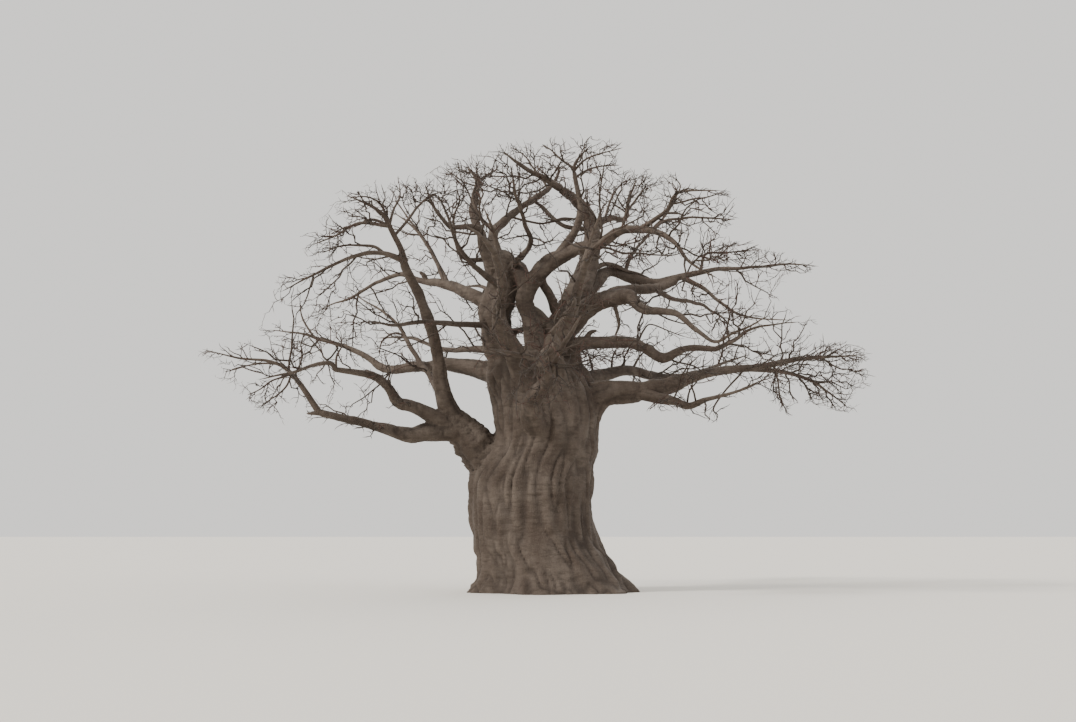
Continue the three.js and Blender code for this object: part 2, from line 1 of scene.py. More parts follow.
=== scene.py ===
# %% [markdown]
# # A baobab in its leafless season
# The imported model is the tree's construction: a trunk, twenty-three boughs and thirty-six masses of twigs,
# each a plain solid in its true place. This script gives them their looks: one skin of folded bark over the
# trunk and boughs, and many thousand twigs that branch by the same rule as the solids.
# Everything is in metres, +Z up, with the origin where the trunk meets the ground.

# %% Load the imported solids
import itertools
import math
from collections import namedtuple

import bmesh
import bpy
import numpy as np
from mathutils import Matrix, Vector


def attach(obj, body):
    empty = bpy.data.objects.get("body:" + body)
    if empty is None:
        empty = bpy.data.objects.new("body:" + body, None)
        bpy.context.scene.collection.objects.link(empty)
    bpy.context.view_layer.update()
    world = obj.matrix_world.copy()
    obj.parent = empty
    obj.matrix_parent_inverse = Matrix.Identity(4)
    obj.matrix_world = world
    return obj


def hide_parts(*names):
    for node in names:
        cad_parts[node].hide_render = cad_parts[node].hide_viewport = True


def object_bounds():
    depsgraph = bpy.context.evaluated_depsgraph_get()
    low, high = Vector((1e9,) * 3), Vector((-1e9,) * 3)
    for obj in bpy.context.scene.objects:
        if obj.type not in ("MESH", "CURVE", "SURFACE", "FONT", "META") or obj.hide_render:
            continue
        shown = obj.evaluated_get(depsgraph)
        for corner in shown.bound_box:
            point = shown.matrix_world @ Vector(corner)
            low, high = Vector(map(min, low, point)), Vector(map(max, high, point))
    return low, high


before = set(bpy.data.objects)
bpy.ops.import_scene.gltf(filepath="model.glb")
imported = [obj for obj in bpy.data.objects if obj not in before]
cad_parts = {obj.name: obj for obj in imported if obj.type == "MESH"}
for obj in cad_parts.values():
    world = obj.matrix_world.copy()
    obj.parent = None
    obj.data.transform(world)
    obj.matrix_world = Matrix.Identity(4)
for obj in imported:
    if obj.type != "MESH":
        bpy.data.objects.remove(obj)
cad_box = [[float(number) for number in corner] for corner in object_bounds()]
print("solids:", len(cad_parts), "box:", cad_box)

# %% [markdown]
# ## The camera
# The photograph looks at the tree from far off at eye height, tilted up a little. A lens is fixed by its
# focal length in pixels, and the tilt by how far the horizon lies below the middle of the picture. Setting
# both from measurements, and not by eye, makes every limb fall where the photograph has it.

# %% Camera
PHOTO_WIDTH = 1076  # pixels
PHOTO_HEIGHT = 722
HORIZON_ROW = 535  # the row of pixels that the horizon lies on
FOCAL_PIXELS = 1389
SENSOR_WIDTH = 36  # millimetres
VIEW_DISTANCE = 50  # from the eye to the plane through the trunk's middle
EYE_HEIGHT = 2
EYE_SIDE = -0.29  # the eye stands this far along X

tilt = math.atan((HORIZON_ROW - PHOTO_HEIGHT / 2) / FOCAL_PIXELS)
lens = bpy.data.cameras.new("viewpoint")
lens.sensor_width = SENSOR_WIDTH
lens.lens = SENSOR_WIDTH * FOCAL_PIXELS / PHOTO_WIDTH
lens.clip_end = 2000
camera = bpy.data.objects.new("viewpoint", lens)
camera.location = (EYE_SIDE, -VIEW_DISTANCE, EYE_HEIGHT)
camera.rotation_euler = (math.pi / 2 + tilt, 0, 0)
bpy.context.scene.collection.objects.link(camera)
bpy.context.scene.camera = camera
print("lens:", round(lens.lens, 2), "mm, tilt:", round(math.degrees(tilt), 2), "degrees")

# %% [markdown]
# ## Floor and light
# A pale floor and a pale world stand for a studio. A leafless crown is all thin lines, so its light must be
# soft and come from several sides: a key light over the viewer's left shoulder shapes the trunk, a weak one
# on the right opens its shade, and one behind draws a thin bright edge along the limbs. All three are suns,
# which light the whole tree evenly, and each looks many degrees wide, which keeps its shadows soft.

# %% Colours
def linear(colour):
    """A colour written as sRGB hex, in the linear numbers that Blender's shaders take."""
    parts = [int(colour[i : i + 2], 16) / 255 for i in (1, 3, 5)]
    return (*(p / 12.92 if p <= 0.04045 else ((p + 0.055) / 1.055) ** 2.4 for p in parts), 1.0)


# %% Nodes
TO_LEAST, TO_MOST = 3, 4  # sockets of a map range node; its value runs into 0, from between 1 and 2


def add(tree, kind, settings=None, feeds=None):
    """One node of a kind. A setting named like a socket goes there, and feeds says what runs into it."""
    node = tree.nodes.new(kind)
    for name, value in (settings or {}).items():
        if isinstance(name, int) or name[0].isupper():
            node.inputs[name].default_value = value
        else:
            setattr(node, name, value)
    for name, output in (feeds or {}).items():
        tree.links.new(output, node.inputs[name])
    return node


def new_material(name):
    """An empty material, and its node tree."""
    material = bpy.data.materials.new(name)
    material.use_nodes = True
    material.node_tree.nodes.clear()
    return material, material.node_tree


def noise(tree, size, detail, roughness, place):
    """Noise whose pattern is about one size across, in metres."""
    settings = {"Scale": 1 / size, "Detail": detail, "Roughness": roughness}
    return add(tree, "ShaderNodeTexNoise", settings, {"Vector": place}).outputs[0]


def share_of(tree, value, low, high, most=1.0):
    """How far a value has come from low to high, as a share of the most."""
    return add(tree, "ShaderNodeMapRange", {1: low, 2: high, TO_MOST: most}, {0: value}).outputs[0]


def laid_over(tree, under, colour, share):
    """A colour laid over another one by a share."""
    settings = {"data_type": "RGBA", 7: linear(colour)}
    return add(tree, "ShaderNodeMix", settings, {0: share, 6: under}).outputs[2]


def bump(tree, height, strength, distance, under=None):
    """A bump in the shading, on top of another one where there is one."""
    feeds = {"Height": height, **({"Normal": under} if under else {})}
    return add(tree, "ShaderNodeBump", {"Strength": strength, "Distance": distance}, feeds).outputs[0]


def dull_wood(tree, settings, feeds, speckle, smoothest, roughest):
    """The surface of bark, with a roughness that varies with a speckle, run into the output."""
    roughness = add(tree, "ShaderNodeMapRange", {TO_LEAST: smoothest, TO_MOST: roughest}, {0: speckle})
    feeds = {**feeds, "Roughness": roughness.outputs[0]}
    surface = add(tree, "ShaderNodeBsdfPrincipled", settings, feeds)
    add(tree, "ShaderNodeOutputMaterial", feeds={"Surface": surface.outputs[0]})


# %% Floor
FLOOR_REACH = 1500  # so far off that its edge lies on the horizon

painted_floor, tree = new_material("matt painted floor")
grain = add(tree, "ShaderNodeTexNoise", {"Scale": 0.15, "Detail": 3.0})
tone = add(tree, "ShaderNodeMix", {"data_type": "RGBA", 6: linear("#dcd8d1"), 7: linear("#e4e1db")},
           {0: grain.outputs[0]})
paint = add(tree, "ShaderNodeBsdfPrincipled", {"Roughness": 0.9, "IOR": 1.45},
            {"Base Color": tone.outputs[2]})
add(tree, "ShaderNodeOutputMaterial", feeds={"Surface": paint.outputs[0]})

floor_mesh = bpy.data.meshes.new("floor")
corners = [(x * FLOOR_REACH, y * FLOOR_REACH, 0) for x, y in ((-1, -1), (1, -1), (1, 1), (-1, 1))]
floor_mesh.from_pydata(corners, [], [(0, 1, 2, 3)])
floor_mesh.materials.append(painted_floor)
floor = bpy.data.objects.new("floor", floor_mesh)
bpy.context.scene.collection.objects.link(floor)

# %% Lamps
LAMP_DISTANCE = 30
WORLD_STRENGTH = 1.35
LAMPS = {  # which way each shines, how wide it looks in degrees, its strength and its colour
    "soft key": ((0.85, 0.5, -0.7), 10, 3.3, "#fffaf2"),
    "soft fill": ((-0.9, 0.5, -0.45), 40, 0.3, "#eaf0ff"),
    "soft rim": ((-0.3, -0.9, -0.7), 30, 0.6, "#fff8ee"),
}

for name, (way, width, strength, colour) in LAMPS.items():
    lamp = bpy.data.lights.new(name, "SUN")
    lamp.angle = math.radians(width)
    lamp.energy = strength
    lamp.color = linear(colour)[:3]
    stand = bpy.data.objects.new(name, lamp)
    stand.rotation_euler = Vector(way).to_track_quat("-Z", "Y").to_euler()
    stand.location = Vector(way) * -LAMP_DISTANCE
    bpy.context.scene.collection.objects.link(stand)

world = bpy.data.worlds.new("pale studio")
world.use_nodes = True
background = world.node_tree.nodes["Background"]
background.inputs["Color"].default_value = linear("#e9e7e3")
background.inputs["Strength"].default_value = WORLD_STRENGTH
bpy.context.scene.world = world
print("lamps:", list(LAMPS))

# %% [markdown]
# ## The tree's lines
# A limb is a line with a radius at every point. The part's source gives each limb a few knots, measured
# across and up as they show in the photograph, with how far back they lie and how thick the limb is there.
# The same tables are written again here, because the solids keep only their faces and twigs need the lines.

# %% The trunk's levels, its ribs, and the boughs' knots
# Height, middle across, half width, half depth.
TRUNK_LEVELS = (
    (0, 0.25, 2.86, 2.72), (0.35, 0.18, 2.62, 2.46), (0.75, 0.06, 2.49, 2.32), (1.15, -0.1, 2.37, 2.22),
    (1.6, -0.33, 2.22, 2.12), (2.2, -0.46, 2.16, 2.06), (2.9, -0.51, 2.17, 2.05), (3.8, -0.53, 2.23, 2.08),
    (4.5, -0.32, 2.06, 2.02), (5.2, -0.02, 1.86, 1.96), (6.1, 0.04, 1.93, 1.94), (6.9, -0.12, 1.93, 1.88),
    (7.6, -0.34, 1.8, 1.74), (8.15, -0.48, 1.46, 1.46), (8.5, -0.5, 0.95, 1.0),
)
BUTTRESSES = 7  # rounded ribs round the foot
BUTTRESS_DEPTH = 0.075  # as a share of the trunk's radius, at the ground
BUTTRESS_HEIGHT = 2.6

# What each bough leaves, then its knots: across, up, back, radius.
BOUGHS = {
    "left_limb": (
        "trunk", (-1.35, 3.1, 0, 1.25), (-2.02, 4.55, -0.1, 0.8), (-2.8, 5.5, -0.25, 0.6),
        (-3.45, 6.1, -0.35, 0.5),
    ),
    "tall_left_bough": (
        "left_limb", (-3.3, 5.9, -0.3, 0.44), (-3.72, 7.1, -0.9, 0.31), (-4.0, 8.85, -1.8, 0.21),
        (-4.56, 10.5, -2.8, 0.18), (-5.08, 11.6, -3.5, 0.15), (-5.38, 12.55, -4.1, 0.1),
        (-5.95, 13.65, -4.7, 0.07),
    ),
    "low_left_bough": (
        "left_limb", (-3.2, 5.75, -0.4, 0.42), (-4.3, 5.65, -0.8, 0.33), (-5.0, 5.55, -1.1, 0.27),
        (-6.35, 5.95, -1.7, 0.16), (-8.2, 6.4, -2.4, 0.12),
    ),
    "second_left_bough": (
        "left_limb", (-3.3, 5.9, -0.5, 0.36), (-4.55, 6.5, -1.1, 0.22), (-5.35, 6.8, -1.6, 0.19),
        (-6.1, 7.65, -2.4, 0.14), (-7.6, 7.95, -3.5, 0.09),
    ),
    "left_level_bough": (
        "trunk", (-1.2, 7.6, 0.2, 0.42), (-2.4, 7.93, 0.5, 0.35), (-3.5, 8.15, 0.9, 0.26),
        (-4.6, 8.05, 1.3, 0.2), (-5.8, 7.95, 1.8, 0.15), (-6.4, 8.35, 2.1, 0.12), (-7.3, 8.8, 2.5, 0.09),
    ),
    "left_leader": (
        "trunk", (-1.1, 7.2, -0.3, 0.75), (-1.68, 8.8, -0.5, 0.56), (-1.82, 9.9, -0.6, 0.6),
        (-1.6, 11.0, -0.7, 0.58), (-1.58, 11.9, -0.8, 0.46),
    ),
    "right_leader": (
        "trunk", (-0.1, 7.2, 0.1, 0.72), (0.05, 8.6, 0.2, 0.68), (0.7, 9.85, 0.4, 0.52),
        (1.25, 11.05, 0.6, 0.44), (1.7, 12.35, 0.8, 0.35), (1.65, 13.3, 0.9, 0.26), (1.25, 14.1, 0.8, 0.2),
        (0.5, 14.7, 0.6, 0.15),
    ),
    "cross_bough": (
        "trunk", (-0.2, 7.3, -0.6, 0.5), (-0.35, 8.7, -0.9, 0.38), (-0.65, 9.8, -1.1, 0.28),
        (-0.75, 10.7, -1.3, 0.3), (-0.1, 11.65, -1.6, 0.32), (0.9, 12.3, -2.0, 0.25),
        (1.9, 12.6, -2.6, 0.19), (2.8, 13.1, -3.2, 0.16), (3.9, 13.1, -4.0, 0.11),
    ),
    "left_high_bough": (
        "left_leader", (-1.75, 10.05, -0.7, 0.3), (-2.6, 10.65, -0.3, 0.22), (-3.7, 11.1, 0.5, 0.17),
        (-4.45, 11.2, 1.2, 0.11), (-5.3, 11.45, 2.0, 0.09), (-6.2, 11.15, 2.9, 0.07),
    ),
    "left_crown_bough": (
        "left_leader", (-1.8, 11.4, -0.8, 0.28), (-2.25, 12.5, -1.2, 0.18), (-2.5, 13.15, -1.6, 0.13),
        (-3.5, 13.2, -2.4, 0.08),
    ),
    "middle_crown_bough": (
        "left_leader", (-1.5, 11.5, -0.7, 0.26), (-1.95, 12.9, -0.3, 0.18), (-1.5, 13.45, 0.2, 0.17),
        (-0.9, 13.95, 0.9, 0.12), (0.05, 14.6, 1.8, 0.1),
    ),
    "middle_bough": (
        "left_leader", (-1.72, 11.0, -0.55, 0.32), (-2.1, 12.0, -0.3, 0.24), (-2.35, 12.85, 0.2, 0.18),
        (-2.68, 13.7, 0.8, 0.15), (-2.55, 14.5, 1.4, 0.11),
    ),
    "arching_bough": (
        "right_leader", (0.8, 9.7, 0.6, 0.4), (1.7, 11.0, 1.1, 0.28), (2.3, 11.55, 1.4, 0.19),
        (3.15, 11.3, 1.5, 0.18), (4.0, 11.1, 1.5, 0.2), (5.1, 11.4, 1.4, 0.12), (6.2, 11.65, 1.2, 0.08),
    ),
    "right_middle_bough": (
        "right_leader", (0.4, 9.2, 0.2, 0.46), (1.8, 10.4, -0.6, 0.34), (3.0, 10.6, -1.6, 0.24),
        (3.6, 10.15, -2.2, 0.15), (4.7, 10.0, -3.3, 0.11), (5.4, 9.45, -4.2, 0.08),
    ),
    "right_level_bough": (
        "right_leader", (0.1, 8.7, 0.0, 0.3), (1.6, 8.92, -0.3, 0.22), (2.9, 8.95, -0.5, 0.2),
        (3.55, 8.75, -0.7, 0.18), (4.2, 8.37, -0.9, 0.18), (5.05, 8.72, -1.2, 0.12), (6.15, 8.7, -1.6, 0.1),
    ),
    "low_right_bough": (
        "trunk", (0.2, 6.4, -0.1, 0.7), (1.95, 7.0, -0.3, 0.48), (3.4, 7.17, -0.4, 0.36),
        (4.6, 7.4, -0.3, 0.3), (5.75, 7.8, 0.0, 0.17), (7.75, 8.05, 0.5, 0.12),
    ),
    "back_right_bough": (
        "trunk", (0.6, 7.2, 0.6, 0.36), (1.95, 7.75, 1.5, 0.24), (3.1, 7.9, 2.4, 0.19),
        (4.0, 7.7, 3.4, 0.15), (5.2, 7.7, 4.8, 0.11),
    ),
    "high_back_bough": (
        "trunk", (0.4, 7.2, 0.9, 0.42), (0.3, 8.6, 2.2, 0.32), (0.8, 9.6, 3.5, 0.25),
        (1.15, 10.3, 5.0, 0.18), (1.5, 10.8, 6.4, 0.12),
    ),
    "back_left_bough": (
        "trunk", (-1.0, 6.9, 0.9, 0.42), (-1.5, 8.4, 2.2, 0.32), (-1.8, 9.4, 3.7, 0.24),
        (-1.95, 10.1, 5.1, 0.17), (-1.8, 10.7, 6.4, 0.12),
    ),
    "low_back_bough": (
        "trunk", (-0.3, 5.9, 1.2, 0.48), (-0.7, 6.9, 2.8, 0.34), (-0.3, 7.5, 4.3, 0.25),
        (-0.9, 8.2, 5.8, 0.18), (-0.6, 8.7, 7.2, 0.12),
    ),
    "front_left_bough": (
        "trunk", (-0.6, 6.8, -1.0, 0.42), (-1.2, 8.6, -2.2, 0.32), (-1.75, 9.9, -3.5, 0.24),
        (-1.6, 11.1, -4.9, 0.17), (-1.9, 12.3, -6.2, 0.11),
    ),
    "front_right_bough": (
        "trunk", (0.6, 7.0, -0.9, 0.42), (0.25, 8.6, -2.0, 0.32), (0.85, 9.9, -3.3, 0.24),
        (1.15, 11.0, -4.6, 0.17), (1.6, 12.2, -6.0, 0.11),
    ),
    "low_front_bough": (
        "trunk", (-0.2, 5.5, -1.2, 0.48), (-0.5, 6.7, -2.8, 0.34), (0.1, 7.6, -4.2, 0.25),
        (-0.2, 8.3, -5.6, 0.18), (0.4, 8.9, -7.0, 0.12),
    ),
}

# %% The masses' stems
# What each stem leaves, how long its longest twigs are, then its knots.
# A stem that continues a bough starts at that bough's tip, so only its later knots are given.
MASSES = {
    "tall_left_twigs": (
        "tip of tall_left_bough", 2.4, (-6.55, 14.1, -5.0, 0.045), (-7.3, 14.4, -5.4, 0.015),
    ),
    "left_shoulder_twigs": (
        "tall_left_bough", 2.3, (-5.7, 13.25, -4.5, 0.07), (-6.9, 13.35, -4.9, 0.05),
        (-7.7, 12.9, -5.1, 0.035), (-8.6, 12.55, -5.2, 0.012),
    ),
    "left_arch_twigs": (
        "tall_left_bough", 2.4, (-5.15, 12.0, -3.75, 0.11), (-6.1, 12.25, -4.0, 0.08),
        (-7.1, 12.1, -4.1, 0.065), (-8.4, 11.5, -4.1, 0.045), (-9.7, 10.8, -3.9, 0.012),
    ),
    "spur_twigs": (
        "tall_left_bough", 2.3, (-3.68, 6.8, -0.75, 0.16), (-4.25, 7.75, 0.2, 0.1),
        (-4.95, 8.85, 1.0, 0.085), (-5.6, 9.8, 1.8, 0.06), (-7.0, 10.7, 3.0, 0.015),
    ),
    "low_left_twigs": (
        "tip of low_left_bough", 2.6, (-9.2, 7.8, -2.9, 0.08), (-10.0, 8.25, -3.1, 0.055),
        (-11.2, 8.4, -3.3, 0.035), (-12.5, 8.7, -3.5, 0.008),
    ),
    "second_left_twigs": (
        "tip of second_left_bough", 2.5, (-7.95, 8.2, -3.8, 0.07), (-9.2, 7.85, -4.5, 0.05),
        (-10.4, 7.6, -5.1, 0.012),
    ),
    "left_level_twigs": (
        "tip of left_level_bough", 2.5, (-8.3, 9.1, 2.9, 0.065), (-9.0, 9.3, 3.1, 0.04),
        (-10.1, 9.4, 3.4, 0.012),
    ),
    "left_back_twigs": (
        "left_leader", 2.5, (-1.6, 8.7, -0.45, 0.16), (-2.75, 8.7, 0.9, 0.11), (-3.85, 8.7, 2.6, 0.09),
        (-4.9, 9.1, 4.6, 0.065), (-6.2, 9.1, 7.2, 0.015),
    ),
    "left_front_twigs": (
        "left_leader", 2.5, (-1.8, 9.6, -0.6, 0.14), (-3.1, 9.6, -1.9, 0.1), (-4.2, 9.7, -3.4, 0.08),
        (-5.4, 9.6, -5.0, 0.06), (-6.4, 9.7, -6.6, 0.015),
    ),
    "left_high_twigs": ("tip of left_high_bough", 2.4, (-7.1, 10.6, 3.6, 0.05), (-8.2, 10.2, 4.2, 0.015)),
    "left_rising_twigs": (
        "left_high_bough", 2.4, (-3.55, 11.0, 0.4, 0.11), (-3.9, 11.8, 0.9, 0.07), (-4.5, 12.8, 1.5, 0.055),
        (-5.1, 13.6, 2.1, 0.035), (-5.6, 14.3, 2.6, 0.012),
    ),
    "middle_twigs": ("tip of middle_bough", 2.4, (-2.5, 15.0, 2.0, 0.065), (-2.9, 15.5, 2.6, 0.015)),
    "left_crown_twigs": (
        "tip of left_crown_bough", 2.3, (-4.1, 13.9, -2.9, 0.055), (-4.5, 14.9, -3.2, 0.015),
    ),
    "middle_crown_twigs": (
        "tip of middle_crown_bough", 2.3, (0.4, 15.1, 2.1, 0.06), (0.5, 15.6, 2.4, 0.015),
    ),
    "left_front_crown_twigs": (
        "left_leader", 2.4, (-1.65, 11.0, -1.0, 0.14), (-2.6, 11.75, -2.4, 0.09), (-3.3, 12.7, -3.6, 0.07),
        (-3.6, 13.6, -5.0, 0.045), (-4.0, 14.5, -6.2, 0.012),
    ),
    "front_crown_twigs": (
        "left_leader", 2.4, (-1.4, 11.6, -0.9, 0.14), (-0.6, 12.55, -2.3, 0.09), (-0.8, 13.4, -3.6, 0.075),
        (-1.1, 14.5, -5.0, 0.05), (-1.3, 15.6, -5.8, 0.012),
    ),
    "cross_twigs": (
        "tip of cross_bough", 2.4, (4.65, 12.7, -4.6, 0.08), (5.3, 11.9, -5.2, 0.05),
        (6.3, 11.3, -5.7, 0.015),
    ),
    "cross_rising_twigs": (
        "cross_bough", 2.3, (3.45, 13.15, -3.7, 0.1), (4.4, 13.8, -4.2, 0.065), (4.9, 14.5, -4.6, 0.045),
        (6.5, 14.6, -5.0, 0.012),
    ),
    "top_twigs": (
        "cross_bough", 2.5, (0.25, 11.9, -1.7, 0.2), (1.0, 12.95, -2.0, 0.15), (1.3, 13.8, -2.2, 0.12),
        (1.15, 14.8, -2.4, 0.08), (1.05, 15.6, -2.6, 0.055), (1.7, 16.35, -2.8, 0.012),
    ),
    "right_leader_twigs": (
        "tip of right_leader", 2.4, (-0.05, 15.05, 0.2, 0.11), (-0.95, 15.55, -0.3, 0.07),
        (-1.6, 16.1, -0.8, 0.015),
    ),
    "right_upper_twigs": (
        "right_leader", 2.4, (1.65, 13.2, 0.9, 0.17), (2.4, 13.55, 1.4, 0.11), (2.9, 13.55, 1.9, 0.09),
        (3.05, 14.3, 2.3, 0.065), (3.35, 15.0, 2.6, 0.015),
    ),
    "arching_twigs": (
        "tip of arching_bough", 2.5, (7.5, 11.7, 1.0, 0.055), (8.9, 11.85, 0.8, 0.035),
        (10.0, 11.75, 0.6, 0.008),
    ),
    "arching_back_twigs": (
        "arching_bough", 2.4, (3.8, 11.05, 1.5, 0.13), (4.55, 10.6, 2.8, 0.09), (5.6, 10.35, 4.2, 0.07),
        (6.3, 9.95, 5.4, 0.045), (6.9, 9.4, 6.4, 0.012),
    ),
    "arching_low_twigs": (
        "arching_bough", 2.3, (4.95, 11.37, 1.4, 0.11), (5.8, 10.9, 0.8, 0.075), (6.4, 10.4, 0.2, 0.06),
        (7.25, 9.9, -0.5, 0.04), (9.0, 9.75, -1.2, 0.012),
    ),
    "right_middle_twigs": (
        "tip of right_middle_bough", 2.5, (6.15, 9.0, -5.0, 0.055), (7.05, 9.4, -5.8, 0.04),
        (8.2, 9.95, -6.6, 0.012),
    ),
    "right_level_twigs": (
        "tip of right_level_bough", 2.5, (6.9, 9.05, -2.0, 0.07), (7.6, 9.5, -2.4, 0.045),
        (9.3, 9.7, -2.9, 0.012),
    ),
    "low_right_twigs": (
        "tip of low_right_bough", 2.4, (8.85, 8.28, 0.7, 0.1), (10.1, 8.4, 0.9, 0.06),
        (11.6, 8.5, 1.1, 0.008),
    ),
    "low_right_hanging_twigs": (
        "low_right_bough", 2.3, (7.2, 7.98, 0.4, 0.11), (8.6, 7.85, 1.3, 0.075), (9.7, 7.5, 1.9, 0.06),
        (10.9, 6.6, 2.6, 0.012),
    ),
    "hooked_twigs": (
        "low_right_bough", 2.2, (3.3, 7.1, -0.4, 0.26), (4.65, 6.77, -1.3, 0.15), (5.2, 6.65, -1.8, 0.13),
        (5.9, 6.9, -2.5, 0.08), (6.85, 7.15, -3.4, 0.05), (7.9, 7.6, -4.3, 0.012),
    ),
    "back_right_twigs": ("tip of back_right_bough", 2.6, (6.2, 8.1, 5.8, 0.07), (7.4, 8.5, 6.8, 0.015)),
    "high_back_twigs": ("tip of high_back_bough", 2.7, (1.9, 11.0, 7.3, 0.07), (2.1, 11.0, 8.1, 0.015)),
    "back_left_twigs": ("tip of back_left_bough", 2.7, (-2.4, 11.0, 7.2, 0.07), (-3.1, 11.0, 8.0, 0.015)),
    "low_back_twigs": ("tip of low_back_bough", 2.7, (-0.3, 8.9, 8.4, 0.07), (-0.8, 9.2, 9.6, 0.015)),
    "front_left_twigs": (
        "tip of front_left_bough", 2.6, (-2.4, 12.9, -7.3, 0.065), (-3.0, 13.3, -8.4, 0.015),
    ),
    "front_right_twigs": (
        "tip of front_right_bough", 2.6, (2.2, 12.8, -7.1, 0.065), (2.9, 13.2, -8.2, 0.015),
    ),
    "low_front_twigs": ("tip of low_front_bough", 2.6, (0.3, 9.4, -8.3, 0.07), (0.7, 9.9, -9.5, 0.015)),
}
print("boughs:", len(BOUGHS), "masses:", len(MASSES))

# %% [markdown]
# ## What the solids leave out
# The photograph shows many thin boughs between the masses of twigs, and a few short links and webs in the
# forks. They are too fine or too short to be solids of their own, and all keep within the solids' reach. The
# links and webs are stout, so they belong to the skin and give the forks their outline.

